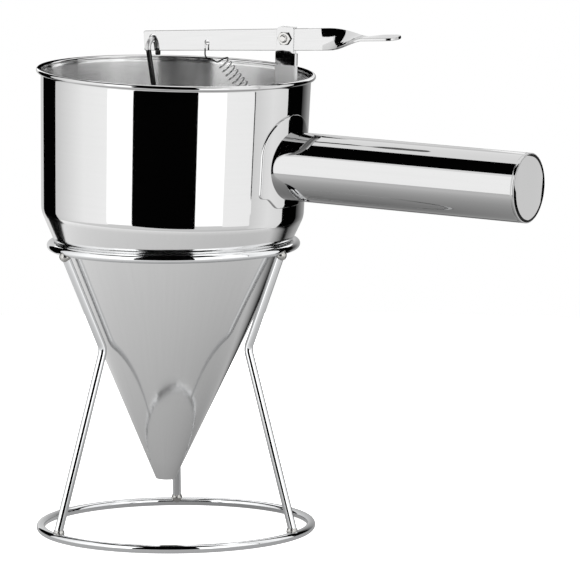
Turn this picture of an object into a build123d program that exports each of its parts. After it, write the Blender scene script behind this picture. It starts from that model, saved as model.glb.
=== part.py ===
from build123d import *
from math import cos, dist, pi, radians, sin, tan
import os

# Confectionery funnel with a thumb lever, standing in its wire stand. Millimetres, +Z up.
# The origin is on the table, on the stand's axis, and the handle points along +X.
# The funnel is drawn upright on that axis and then leans a little towards its handle.

# Stock
SHEET = 0.9
STAND_WIRE = 5.0
ROD_WIRE = 3.0
SPRING_WIRE = 0.85

# Bowl and cone, with radii to the middle of the sheet
SHOULDER_R = 74.75
SHOULDER_Z = 184.0
SHOULDER_BEND = 14.0
WALL_TOP_R = 76.78
WALL_TOP_Z = 261.9
LIP_BEND = 2.8
LIP_TURN = 64.0
LIP_BEAD_R = 1.5
CONE_HALF_ANGLE = 24.2
SEAM_DROP = 6.0
OUTLET_Z = 29.0

# Stand
BASE_RING_R = 78.0
BASE_FLAT = 0.15
TOP_RING_Z = 165.9
SEAT_GAP = 0.26
LEG_ANGLES = {"handle": 0.0, "rear": 120.0, "left": 240.0}
LEG_KNEE_RS = {"handle": 48.6, "rear": 47.6, "left": 46.6}
LEG_KNEE_Z = 108.4
LEG_KNEE_BEND = 9.0
LEG_TOP_DROP = 2.7
WELD_BLOB_R = 3.3
FOOT_WELD_IN = 1.25
FOOT_WELD_UP = 2.5
RING_WELD_OUT = 0.6
RING_WELD_DOWN = 2.5

# Lean of the funnel in the stand, about the centre that keeps the cone against the ring
FUNNEL_LEAN = 2.3

# Handle
HANDLE_DIA = 39.0
HANDLE_WALL = 1.2
HANDLE_Z = 217.05
HANDLE_RISE = 0.42
HANDLE_REACH = 228.4
CAP_EDGE = 1.5
CAP_BODY = 2.0
CAP_CROWN = 1.3
SADDLE_WIDTH = 52.0
SADDLE_ARCH_UP = 7.2
SADDLE_ARCH_RISE = 22.5
SADDLE_STRAIGHT = 16.6
SADDLE_TAB = 40.6
SADDLE_BELOW = 22.9
SADDLE_FOOT = 25.0
SADDLE_SHEET = 1.2

# Lever and its pivot, in the lever's own upright plane, which stands a little off the handle's plane
LEVER_SWING = 5.0
LEVER_RISE = 4.4
LEVER_SHEET = 1.6
LEVER_INNER_WIDTH = 11.3
LEVER_OUTER_WIDTH = 12.6
LEVER_BELOW_PIVOT = 0.9
LEVER_INNER_REACH = 89.5
TWIST_START = 21.5
TWIST_END = 47.5
PAD_END = 69.0
PAD_CORNER = 5.0
TWIST_SECTIONS = 9
PIVOT_U = 68.7
PIVOT_Z = 289.2
PIVOT_R = 2.0
PIVOT_PLAY = 0.05
NUT_FLATS = 7.0
NUT_HEIGHT = 3.2
HEAD_HEIGHT = 2.8
BOLT_PAST_NUT = 1.5
BOLT_POINT = 0.4

# Folded bracket
BRACKET_SHEET = 0.8
BRACKET_DEPTH = 12.4
BRACKET_OUT_U = 75.45
BRACKET_TOP_Z = 295.6
BRACKET_BOTTOM_Z = 232.0
BRACKET_CORNER = 2.5
BRACKET_PLAY = 0.25
WEB_TOP_Z = 280.8
BEAD_R = 1.0
BEAD_TOP_Z = 256.0
BEAD_END = 0.9

# Piston rod and stopper
ROD_HOLE_U = -14.8
ROD_HOLE_Z = 283.4
ROD_HOLE_R = 2.4
HOOK_R = 6.3
HOOK_TAIL = 3.5
ROD_BEND_Z = 183.0
ROD_BEND_LENGTH = 6.0
STOPPER_GAP = 0.3
STOPPER_UP = 1.2
STOPPER_SEAT = 8.0
STOPPER_RIM = 1.5
STOPPER_NECK = 4.5
STOPPER_NECK_R = 2.6
STOPPER_ROUND = 0.6

# Return spring
SPRING_HOLE_U = 19.3
SPRING_HOLE_Z = 283.4
SPRING_HOLE_R = 1.5
COIL_MEAN_R = 3.6
COIL_PITCH = 2.93
COIL_TURNS = 14
COIL_START_U = 28.7
COIL_START_Z = 273.4
COIL_SLOPE = 45.6
NECK_R = 1.8
NECK_BOTTOM_U = 23.3
NECK_BOTTOM_Z = 273.6
NECK_LOW_Z = 277.2
ANCHOR_U = 65.2
ANCHOR_Z = 238.2
ANCHOR_HOLE_R = 0.95
END_HOOK_R = 2.4
END_TAIL = 2.2
GAP_STEPS = 6

# Lengths and limits of the working, past any piece
THROUGH = 30.0
EVERYWHERE = 1000.0
TINY = 1e-9

# Worked out from the sizes above
CONE_SLOPE = tan(radians(CONE_HALF_ANGLE))
CONE_COS = cos(radians(CONE_HALF_ANGLE))
WALL_SLOPE = (WALL_TOP_R - SHOULDER_R) / (WALL_TOP_Z - SHOULDER_Z)
HALF_WALL = SHEET / 2 * (1 + WALL_SLOPE**2) ** 0.5


def cone_radius(height):
    """Radius of the middle of the cone's sheet at a height on the funnel's axis."""
    return SHOULDER_R - (SHOULDER_Z - height) * CONE_SLOPE


def wall_radius(height):
    """Radius of the middle of the bowl's sheet at a height on the funnel's axis."""
    return SHOULDER_R + (height - SHOULDER_Z) * WALL_SLOPE


TOP_RING_R = cone_radius(TOP_RING_Z) + (SHEET / 2 + STAND_WIRE / 2 + SEAT_GAP) / CONE_COS
BASE_RING_Z = STAND_WIRE / 2 - BASE_FLAT
LEAN_CENTRE = Pos(0, 0, TOP_RING_Z + TOP_RING_R * CONE_SLOPE)
HANDLE_PLACE = Pos(0, 0, HANDLE_Z) * Rot(0, 90 - HANDLE_RISE, 0)
FUNNEL_PLACE = LEAN_CENTRE * Rot(0, FUNNEL_LEAN, 0) * LEAN_CENTRE.inverse()
LEVER_PLACE = FUNNEL_PLACE * Rot(0, 0, LEVER_SWING)
LEVER_REST = Pos(PIVOT_U, 0, PIVOT_Z) * Rot(0, -LEVER_RISE, 0)
CHEEK_IN_Y = LEVER_SHEET / 2 + BRACKET_PLAY
CHEEK_OUT_Y = CHEEK_IN_Y + BRACKET_SHEET
ACROSS = Rot(90, 0, 0)
ON_LOW_END = (Align.CENTER, Align.CENTER, Align.MIN)
UNDER = (Align.CENTER, Align.CENTER, Align.MAX)


def turned(section):
    """Solid of revolution about the upright axis of a section drawn as radius and height."""
    return revolve(Plane.XZ * section, Axis.Z)


def wire_along(path, diameter):
    """Round wire of one diameter along a path."""
    return sweep((path ^ 0) * Circle(diameter / 2), path=path)


def biarc(start, start_heading, end, end_heading):
    """Two tangent arcs between two points with given unit headings, or a line where they agree."""
    span = end - start
    turn = 2 * (1 - start_heading.dot(end_heading))
    if turn < TINY and span.normalized().dot(start_heading) > 1 - TINY:
        return [Line(start, end)]
    along = span.dot(start_heading + end_heading)
    if turn < TINY:
        reach = span.dot(span) / (2 * along)
    else:
        reach = (-along + (along * along + turn * span.dot(span)) ** 0.5) / turn
    leave = start + start_heading * reach
    arrive = end - end_heading * reach
    middle = (leave + arrive) * 0.5
    first = TangentArc(start, middle, tangent=start_heading)
    second = TangentArc(middle, end, tangent=arrive - leave)
    return [first, second]


def path_through(stations):
    """Smooth path of lines and biarcs through points, each with the heading of the wire there."""
    edges = []
    for (start, start_heading), (end, end_heading) in zip(stations, stations[1:]):
        edges += biarc(start, start_heading, end, end_heading)
    return Wire(edges)


def bowl():
    """Hopper wall with its shoulder below and its flared, beaded lip above."""
    seam_z = SHOULDER_Z - SEAM_DROP
    seam = (cone_radius(seam_z), seam_z)
    wall_top = (WALL_TOP_R, WALL_TOP_Z)
    side = FilletPolyline(seam, (SHOULDER_R, SHOULDER_Z), wall_top, radius=SHOULDER_BEND)
    lip = JernArc(wall_top, tangent=side % 1, radius=LIP_BEND, arc_size=-LIP_TURN)
    bead = Pos(lip @ 1) * Circle(LIP_BEAD_R)
    return turned(trace(side + lip, SHEET) + bead)


def cone():
    """Cone below the bowl's seam, ground flat at the outlet."""
    seam_z = SHOULDER_Z - SEAM_DROP
    low_z = OUTLET_Z - SHEET
    side = Line((cone_radius(low_z), low_z), (cone_radius(seam_z), seam_z))
    below = Pos(0, 0, OUTLET_Z) * Box(THROUGH, THROUGH, THROUGH, align=UNDER)
    return turned(trace(side, SHEET)) - below


def wall_plug(extra):
    """Solid inside the bowl's outer face, made larger by an extra thickness."""
    radii = [wall_radius(z) + HALF_WALL + extra for z in (SHOULDER_Z, WALL_TOP_Z)]
    height = WALL_TOP_Z - SHOULDER_Z
    return Pos(0, 0, SHOULDER_Z) * Cone(*radii, height, align=ON_LOW_END)


def handle_saddle():
    """Arched plate with a tab below, wrapped on the bowl's wall."""
    half = SADDLE_WIDTH / 2
    arch = Pos(0, SADDLE_ARCH_UP) * Ellipse(half, SADDLE_ARCH_RISE)
    skirt = Polyline(
        (-half, SADDLE_ARCH_UP),
        (-half, -SADDLE_STRAIGHT),
        (-SADDLE_TAB / 2, -SADDLE_STRAIGHT),
        (-SADDLE_FOOT / 2, -SADDLE_BELOW),
        (SADDLE_FOOT / 2, -SADDLE_BELOW),
        (SADDLE_TAB / 2, -SADDLE_STRAIGHT),
        (half, -SADDLE_STRAIGHT),
        (half, SADDLE_ARCH_UP),
        close=True,
    )
    facing_out = Plane((0, 0, HANDLE_Z), x_dir=(0, 1, 0), z_dir=(1, 0, 0))
    outline = facing_out * (arch + make_face(skirt))
    return extrude(outline, 2 * WALL_TOP_R) & wall_plug(SADDLE_SHEET) - wall_plug(0)


def handle_tube():
    """Tube from the saddle to the end cap, coped to the saddle's curve."""
    ring = Circle(HANDLE_DIA / 2) - Circle(HANDLE_DIA / 2 - HANDLE_WALL)
    tube = extrude(ring, HANDLE_REACH - CAP_BODY - CAP_CROWN)
    return HANDLE_PLACE * tube - wall_plug(SADDLE_SHEET)


def handle_end_cap():
    """Crowned disc with a rounded edge, on the handle's axis."""
    radius = HANDLE_DIA / 2
    face_r = radius - CAP_EDGE
    edge = CenterArc((face_r, CAP_BODY - CAP_EDGE), CAP_EDGE, 0, 90)
    crown = TangentArc((0, CAP_BODY + CAP_CROWN), (face_r, CAP_BODY), tangent=(1, 0))
    base = Polyline(crown @ 0, (0, 0), (radius, 0), edge @ 0)
    disc = turned(make_face(edge + crown + base))
    return HANDLE_PLACE * Pos(0, 0, HANDLE_REACH - CAP_BODY - CAP_CROWN) * disc


def cross_hole(u, z, radius):
    """Cutter across the lever's plane at a place in that plane."""
    return Pos(u, 0, z) * ACROSS * Cylinder(radius, THROUGH)


def lever_bracket():
    """Channel folded from sheet: two cheeks round the lever and a web against the bowl's wall."""
    inner_u = BRACKET_OUT_U - BRACKET_DEPTH
    side = Polyline(
        (inner_u, BRACKET_BOTTOM_Z),
        (BRACKET_OUT_U, BRACKET_BOTTOM_Z),
        (BRACKET_OUT_U, BRACKET_TOP_Z),
        (inner_u, BRACKET_TOP_Z),
        close=True,
    )
    outline = make_face(side)
    outline = fillet(outline.vertices().sort_by(Axis.X)[:2], BRACKET_CORNER)
    block = extrude(Plane.XZ * outline, CHEEK_OUT_Y, both=True)
    web_u = BRACKET_OUT_U - BRACKET_SHEET
    tall = BRACKET_TOP_Z - BRACKET_BOTTOM_Z
    from_low = (Align.MAX, Align.CENTER, Align.MIN)
    channel = Pos(web_u, 0, BRACKET_BOTTOM_Z) * Box(BRACKET_DEPTH, 2 * CHEEK_IN_Y, tall, align=from_low)
    mouth = Pos(BRACKET_OUT_U, 0, WEB_TOP_Z) * Box(BRACKET_DEPTH, 2 * CHEEK_IN_Y, tall, align=from_low)
    anchor = cross_hole(ANCHOR_U, ANCHOR_Z, ANCHOR_HOLE_R)
    return block - channel - mouth - anchor - cross_hole(PIVOT_U, PIVOT_Z, PIVOT_R + PIVOT_PLAY)


def bracket_welds():
    """Upright beads in the corners between the bracket's sides and the bowl's wall."""
    bead = Cylinder(BEAD_R, BEAD_TOP_Z - BRACKET_BOTTOM_Z, align=ON_LOW_END)
    bead = fillet(bead.edges(), BEAD_END)
    between = Box(EVERYWHERE, 2 * CHEEK_OUT_Y, EVERYWHERE)
    inside = wall_plug(-2 * HALF_WALL)
    corners = [Pos(BRACKET_OUT_U, side * CHEEK_OUT_Y, BRACKET_BOTTOM_Z) for side in (-1, 1)]
    return [(corner * bead - between) & inside for corner in corners]


def hexagon_prism(height):
    """Hexagon stock across the nut's flats, along the pivot's axis."""
    return extrude(RegularPolygon(NUT_FLATS / 2, 6, major_radius=False), height)


def pivot_bolt():
    """Bolt with its head on the far cheek."""
    shank_length = 2 * CHEEK_OUT_Y + NUT_HEIGHT + BOLT_PAST_NUT
    shank = Cylinder(PIVOT_R, shank_length, align=ON_LOW_END)
    shank = chamfer(shank.edges().sort_by(Axis.Z)[-1], BOLT_POINT)
    head = Pos(0, 0, -HEAD_HEIGHT) * hexagon_prism(HEAD_HEIGHT)
    return Pos(PIVOT_U, CHEEK_OUT_Y, PIVOT_Z) * ACROSS * (shank + head)


def pivot_nut():
    """Hexagon nut on the near cheek."""
    bore = Cylinder(PIVOT_R + PIVOT_PLAY / 2, THROUGH)
    return Pos(PIVOT_U, -CHEEK_OUT_Y, PIVOT_Z) * ACROSS * (hexagon_prism(NUT_HEIGHT) - bore)


def lever_section(along, turn):
    """Cross-section of the lever's strip at a distance from the pivot, turned about its length."""
    across = (0, cos(radians(turn)), -sin(radians(turn)))
    at = Plane((along, 0, -LEVER_BELOW_PIVOT), x_dir=across, z_dir=(1, 0, 0))
    return at * Rectangle(LEVER_SHEET, LEVER_OUTER_WIDTH)


def lever():
    """Strip that widens outward, twists a quarter turn and ends in a flat thumb pad."""
    inner, outer = LEVER_INNER_WIDTH / 2, LEVER_OUTER_WIDTH / 2
    side = Polyline(
        (-LEVER_INNER_REACH, -inner),
        (TWIST_START, -outer),
        (TWIST_START, outer),
        (-LEVER_INNER_REACH, inner),
        close=True,
    )
    blade = extrude(Plane.XZ * (Pos(0, -LEVER_BELOW_PIVOT) * make_face(side)), LEVER_SHEET / 2, both=True)
    steps = [k / (TWIST_SECTIONS - 1) for k in range(TWIST_SECTIONS)]
    twist_length = TWIST_END - TWIST_START
    twist = loft([lever_section(TWIST_START + t * twist_length, 90 * t) for t in steps])
    pad_shape = Rectangle(PAD_END - TWIST_END, LEVER_OUTER_WIDTH, align=(Align.MIN, Align.CENTER))
    pad_shape = fillet(pad_shape.vertices().group_by(Axis.X)[-1], PAD_CORNER)
    pad = Pos(TWIST_END, 0, -LEVER_BELOW_PIVOT) * extrude(pad_shape, LEVER_SHEET / 2, both=True)
    strip = LEVER_REST * (blade + twist + pad)
    strip -= cross_hole(ROD_HOLE_U, ROD_HOLE_Z, ROD_HOLE_R)
    strip -= cross_hole(SPRING_HOLE_U, SPRING_HOLE_Z, SPRING_HOLE_R)
    return strip - cross_hole(PIVOT_U, PIVOT_Z, PIVOT_R + PIVOT_PLAY)


def piston_rod():
    """Rod with a hook through the lever, leaning in to the axis and then running down it."""
    up, down, near = Vector(0, 0, 1), Vector(0, 0, -1), Vector(0, -1, 0)
    hook = Vector(ROD_HOLE_U, 0, ROD_HOLE_Z)
    far_side = hook + Vector(0, HOOK_R, -HOOK_R)
    near_side = hook + Vector(0, -HOOK_R, -HOOK_R)
    bend = Vector(0, 0, ROD_BEND_Z)
    lean = (bend - near_side).normalized()
    foot = Vector(0, 0, OUTLET_Z + STOPPER_UP + STOPPER_SEAT / 2)
    stations = [
        (far_side - up * HOOK_TAIL, up),
        (far_side, up),
        (hook, near),
        (near_side, lean),
        (bend - lean * ROD_BEND_LENGTH, lean),
        (bend + down * ROD_BEND_LENGTH, down),
        (foot, down),
    ]
    return wire_along(path_through(stations), ROD_WIRE)


def valve_stopper():
    """Conical plug that closes the outlet from inside, bored for the rod's end."""
    low_z = OUTLET_Z + STOPPER_UP
    seat_z = low_z + STOPPER_SEAT
    rim_z = seat_z + STOPPER_RIM
    inset = (SHEET / 2 + STOPPER_GAP) / CONE_COS
    low_r = cone_radius(low_z) - inset
    seat_r = cone_radius(seat_z) - inset
    outline = Polyline((0, low_z), (low_r, low_z), (seat_r, seat_z), (seat_r, rim_z))
    shoulder = ThreePointArc(
        (seat_r, rim_z),
        (STOPPER_ROUND * seat_r, rim_z + STOPPER_ROUND * STOPPER_NECK),
        (STOPPER_NECK_R, rim_z + STOPPER_NECK),
    )
    top = Polyline(shoulder @ 1, (0, rim_z + STOPPER_NECK), (0, low_z))
    bore = Pos(0, 0, low_z + STOPPER_SEAT / 2) * Cylinder(ROD_WIRE / 2, THROUGH, align=ON_LOW_END)
    return turned(make_face(outline + shoulder + top)) - bore


def return_spring():
    """Tension spring: a tail through the lever, a swan neck, the coil and an end hook in the bracket."""
    up, near, far = Vector(0, 0, 1), Vector(0, -1, 0), Vector(0, 1, 0)
    out = Vector(1, 0, 0)
    slope = radians(COIL_SLOPE)
    axis = Vector(cos(slope), 0, -sin(slope))
    side = Vector(sin(slope), 0, cos(slope))
    eye = Vector(SPRING_HOLE_U, 0, SPRING_HOLE_Z)
    face = LEVER_SHEET / 2 + SPRING_WIRE / 2
    behind = eye + far * (face + NECK_R) - up * NECK_R
    before = eye + near * (face + NECK_R) - up * NECK_R
    stations = [
        (behind - up * NECK_R, up),
        (behind, up),
        (eye + far * face, near),
        (eye + near * face, near),
        (before, -up),
        (Vector(SPRING_HOLE_U, before.Y, NECK_LOW_Z), -up),
        (Vector(NECK_BOTTOM_U, before.Y, NECK_BOTTOM_Z), out),
    ]
    start = Vector(COIL_START_U, 0, COIL_START_Z)
    quarters = 4 * COIL_TURNS + 3
    for quarter in range(quarters + 1):
        angle = (quarter - 1) * pi / 2
        spoke = side * cos(angle) + far * sin(angle)
        run = far * cos(angle) - side * sin(angle)
        place = start + axis * (COIL_PITCH * quarter / 4) + spoke * COIL_MEAN_R
        heading = (run * COIL_MEAN_R + axis * (COIL_PITCH / (2 * pi))).normalized()
        stations.append((place, heading))
    anchor = Vector(ANCHOR_U, 0, ANCHOR_Z)
    cheek = CHEEK_OUT_Y + SPRING_WIRE / 2
    enter, leave = anchor + near * cheek, anchor + far * cheek
    stations += [
        (enter + near * END_HOOK_R - axis * END_HOOK_R, axis),
        (enter, far),
        (leave, far),
        (leave + far * END_HOOK_R - axis * END_HOOK_R, -axis),
        (leave + far * END_HOOK_R - axis * (END_HOOK_R + END_TAIL), -axis),
    ]
    path = path_through(stations)
    print_wire_gap("return_spring", path, SPRING_WIRE)
    return wire_along(path, SPRING_WIRE)


def print_wire_gap(name, path, diameter):
    """Print the least gap of a wire to itself and its tightest bend, measured on points."""
    stops = [k / GAP_STEPS for k in range(GAP_STEPS)]
    points = [tuple(edge @ stop) for edge in path.edges() for stop in stops]
    lengths = [edge.length / GAP_STEPS for edge in path.edges() for _ in stops]
    apart = pi * diameter
    least = path.length
    for first, start in enumerate(points):
        travelled = 0.0
        for step, end in zip(lengths[first:], points[first + 1 :]):
            travelled += step
            if travelled > apart:
                least = min(least, dist(start, end))
    radii = [edge.radius for edge in path.edges() if edge.geom_type == GeomType.CIRCLE]
    print(f"{name}: least gap to itself {least - diameter:.2f} mm, tightest bend {min(radii):.2f} mm")


def stand_base_ring():
    """Wire ring on the table, with a narrow flat where it stands."""
    ring = Pos(0, 0, BASE_RING_Z) * Torus(BASE_RING_R, STAND_WIRE / 2)
    return ring - Box(EVERYWHERE, EVERYWHERE, STAND_WIRE, align=UNDER)


def stand_top_ring():
    """Wire ring that the cone sits in."""
    return Pos(0, 0, TOP_RING_Z) * Torus(TOP_RING_R, STAND_WIRE / 2)


def leg_blank(knee_r):
    """Bent leg in the XZ plane, running into the wire of both rings."""
    top = (TOP_RING_R, 0, TOP_RING_Z - LEG_TOP_DROP)
    knee = (knee_r, 0, LEG_KNEE_Z)
    foot = (BASE_RING_R, 0, BASE_RING_Z)
    return wire_along(FilletPolyline(top, knee, foot, radius=LEG_KNEE_BEND), STAND_WIRE)


def blob(radius, height):
    """Weld blob before the wires are cut from it."""
    return Pos(radius, 0, height) * Sphere(WELD_BLOB_R)


def stand_pieces():
    """Rings, legs and welds of the stand, with each leg coped to the rings it meets."""
    base = stand_base_ring()
    top = stand_top_ring()
    pieces = {"stand_base_ring": base, "stand_top_ring": top, "foot_welds": [], "ring_welds": []}
    for name, angle in LEG_ANGLES.items():
        turn = Rot(0, 0, angle)
        leg = leg_blank(LEG_KNEE_RS[name]) - base - top
        foot_blob = blob(BASE_RING_R - FOOT_WELD_IN, BASE_RING_Z + FOOT_WELD_UP) - base - leg
        ring_blob = blob(TOP_RING_R + RING_WELD_OUT, TOP_RING_Z - RING_WELD_DOWN) - top - leg
        pieces[f"stand_leg_{name}"] = turn * leg
        pieces["foot_welds"].append(turn * foot_blob)
        pieces["ring_welds"].append(turn * ring_blob)
    return pieces


def funnel_pieces():
    """Funnel body and handle, placed with the funnel's lean."""
    made = {
        "bowl": bowl(),
        "cone": cone(),
        "handle_saddle": handle_saddle(),
        "handle_tube": handle_tube(),
        "handle_end_cap": handle_end_cap(),
    }
    swung = {
        "lever_bracket": lever_bracket(),
        "bracket_welds": bracket_welds(),
        "pivot_bolt": pivot_bolt(),
        "pivot_nut": pivot_nut(),
        "lever": lever(),
        "piston_rod": piston_rod(),
        "valve_stopper": valve_stopper(),
        "return_spring": return_spring(),
    }
    placed = {name: [FUNNEL_PLACE * solid for solid in as_list(piece)] for name, piece in made.items()}
    placed |= {name: [LEVER_PLACE * solid for solid in as_list(piece)] for name, piece in swung.items()}
    return placed


def as_list(piece):
    """Solids of a piece that is one shape or a list of shapes."""
    shapes = piece if isinstance(piece, list) else [piece]
    return [solid for shape in shapes for solid in shape.solids()]


def main():
    """Write every piece as its own file."""
    os.makedirs("parts", exist_ok=True)
    for name, piece in {**stand_pieces(), **funnel_pieces()}.items():
        solids = as_list(piece)
        export_step(Compound(solids) if len(solids) > 1 else solids[0], f"parts/{name}.step")


if __name__ == "__main__":
    main()
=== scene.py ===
"""Looks of a confectionery funnel with a thumb lever, standing in its wire stand.

Sizes in the classes are millimetres and become metres when a mesh is made. The funnel is drawn upright on
the stand's axis, with its handle along +X, and then takes its lean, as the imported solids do.
"""

import logging
import math
from dataclasses import dataclass
from enum import Enum, IntEnum
from typing import Any, Sequence

import bmesh
import bpy
import numpy as np
from mathutils import Matrix, Vector, noise


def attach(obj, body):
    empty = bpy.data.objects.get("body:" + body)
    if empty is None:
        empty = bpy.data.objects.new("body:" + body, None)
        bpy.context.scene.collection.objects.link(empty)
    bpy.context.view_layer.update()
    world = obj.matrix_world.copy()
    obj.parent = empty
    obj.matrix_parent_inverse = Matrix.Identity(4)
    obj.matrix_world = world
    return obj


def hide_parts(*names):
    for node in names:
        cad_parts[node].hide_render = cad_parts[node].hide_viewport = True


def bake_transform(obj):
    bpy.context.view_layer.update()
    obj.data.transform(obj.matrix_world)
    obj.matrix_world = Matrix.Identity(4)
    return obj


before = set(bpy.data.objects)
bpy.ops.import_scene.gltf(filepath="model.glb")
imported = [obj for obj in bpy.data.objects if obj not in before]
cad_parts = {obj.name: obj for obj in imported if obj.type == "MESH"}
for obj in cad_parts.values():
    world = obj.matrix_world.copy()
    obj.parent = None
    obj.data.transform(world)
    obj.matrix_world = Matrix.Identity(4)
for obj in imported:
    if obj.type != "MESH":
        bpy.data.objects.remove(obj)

MM = 0.001
TURN = 2 * math.pi
QUARTER = math.pi / 2
# Differences that count as none, in millimetres or as a share.
TINY = 1e-6
FINEST = 1e-9
MERGE_DISTANCE = 1e-4
SAME_DECIMALS = 6
# Edges that turn by more than this stay sharp, on most pieces and on welded ones.
SHARP_DEG = 38.0
SOFT_SHARP_DEG = 60.0
# Points round a hole, rows of a wire's rounded end and points on the shortest arc.
HOLE_SIDES = 48
END_ROWS = 3
LEAST_ARC_POINTS = 4
# Noise mostly stays between these.
USUAL_NOISE = (0.3, 0.7)
SURFACE_MAP = "surface_mm"
PHOTO_SIDE_PX = 580

Array = np.ndarray
log = logging.getLogger("funnel")


class Body(Enum):
    """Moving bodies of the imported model."""

    STAND = "stand"
    FUNNEL = "funnel"
    LEVER = "lever"
    ROD = "rod"


class Slot(Enum):
    """Material slots that the pieces stand for."""

    SHEET = "polished_stainless_sheet"
    TUBE = "polished_stainless_tube"
    STRIP = "stainless_strip"
    WIRE = "stainless_wire"
    PLATED_WIRE = "plated_wire"
    FASTENER = "plated_fastener"
    WELD = "weld"
    PLASTIC = "white_food_plastic"


class Grain(Enum):
    """Way that polishing or drawing lines run on a surface."""

    AROUND = "around"
    ALONG = "along"


class BracketFace(IntEnum):
    """Numbers of the finishes on the lever's bracket."""

    BRIGHT = 0
    CUT_EDGE = 1
    PAINTED_LIGHT = 2


def linear(colour: str) -> tuple[float, float, float, float]:
    """Turns an sRGB hex colour into linear values.

    Args:
        colour: Six hex digits after a hash sign.

    Returns:
        Linear red, green and blue, and full alpha.
    """
    parts = [int(colour[k:k + 2], 16) / 255 for k in (1, 3, 5)]
    red, green, blue = (c / 12.92 if c <= 0.04045 else ((c + 0.055) / 1.055) ** 2.4 for c in parts)
    return red, green, blue, 1.0


def add_node(tree: bpy.types.NodeTree, kind: str, values: dict[str | int, Any] | None = None,
             links: dict[str | int, bpy.types.NodeSocket] | None = None, out: str | None = None,
             **settings: Any) -> bpy.types.NodeSocket | None:
    """Adds a node with its socket values, links and own settings.

    Args:
        tree: Tree that takes the node.
        kind: Node type after "ShaderNode".
        values: Values of input sockets by name or number.
        links: Output sockets to join to input sockets by name or number.
        out: Name of the output that is wanted, if it is not the first one in use.
        settings: Properties of the node itself.

    Returns:
        The node's output, if it has one.
    """
    node = tree.nodes.new("ShaderNode" + kind)
    for name, value in settings.items():
        setattr(node, name, value)
    for name, value in (values or {}).items():
        node.inputs[name].default_value = value
    for name, socket in (links or {}).items():
        tree.links.new(socket, node.inputs[name])
    return node.outputs[out] if out else next((socket for socket in node.outputs if socket.enabled), None)


def placed(mesh: bpy.types.Mesh, place: Matrix, finishes: Sequence["Finish"]) -> bpy.types.Object:
    """Gives a mesh its finishes and shows it in its place, in metres.

    Args:
        mesh: Mesh in millimetres.
        place: Where it goes, in millimetres.
        finishes: Finishes in the order of their numbers.

    Returns:
        The object, which sits at the origin of the row frame.
    """
    for finish in finishes:
        mesh.materials.append(finish.material())
    mesh.transform(Matrix.Scale(MM, 4) @ place)
    piece = bpy.data.objects.new(mesh.name, mesh)
    bpy.context.scene.collection.objects.link(piece)
    return piece


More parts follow.
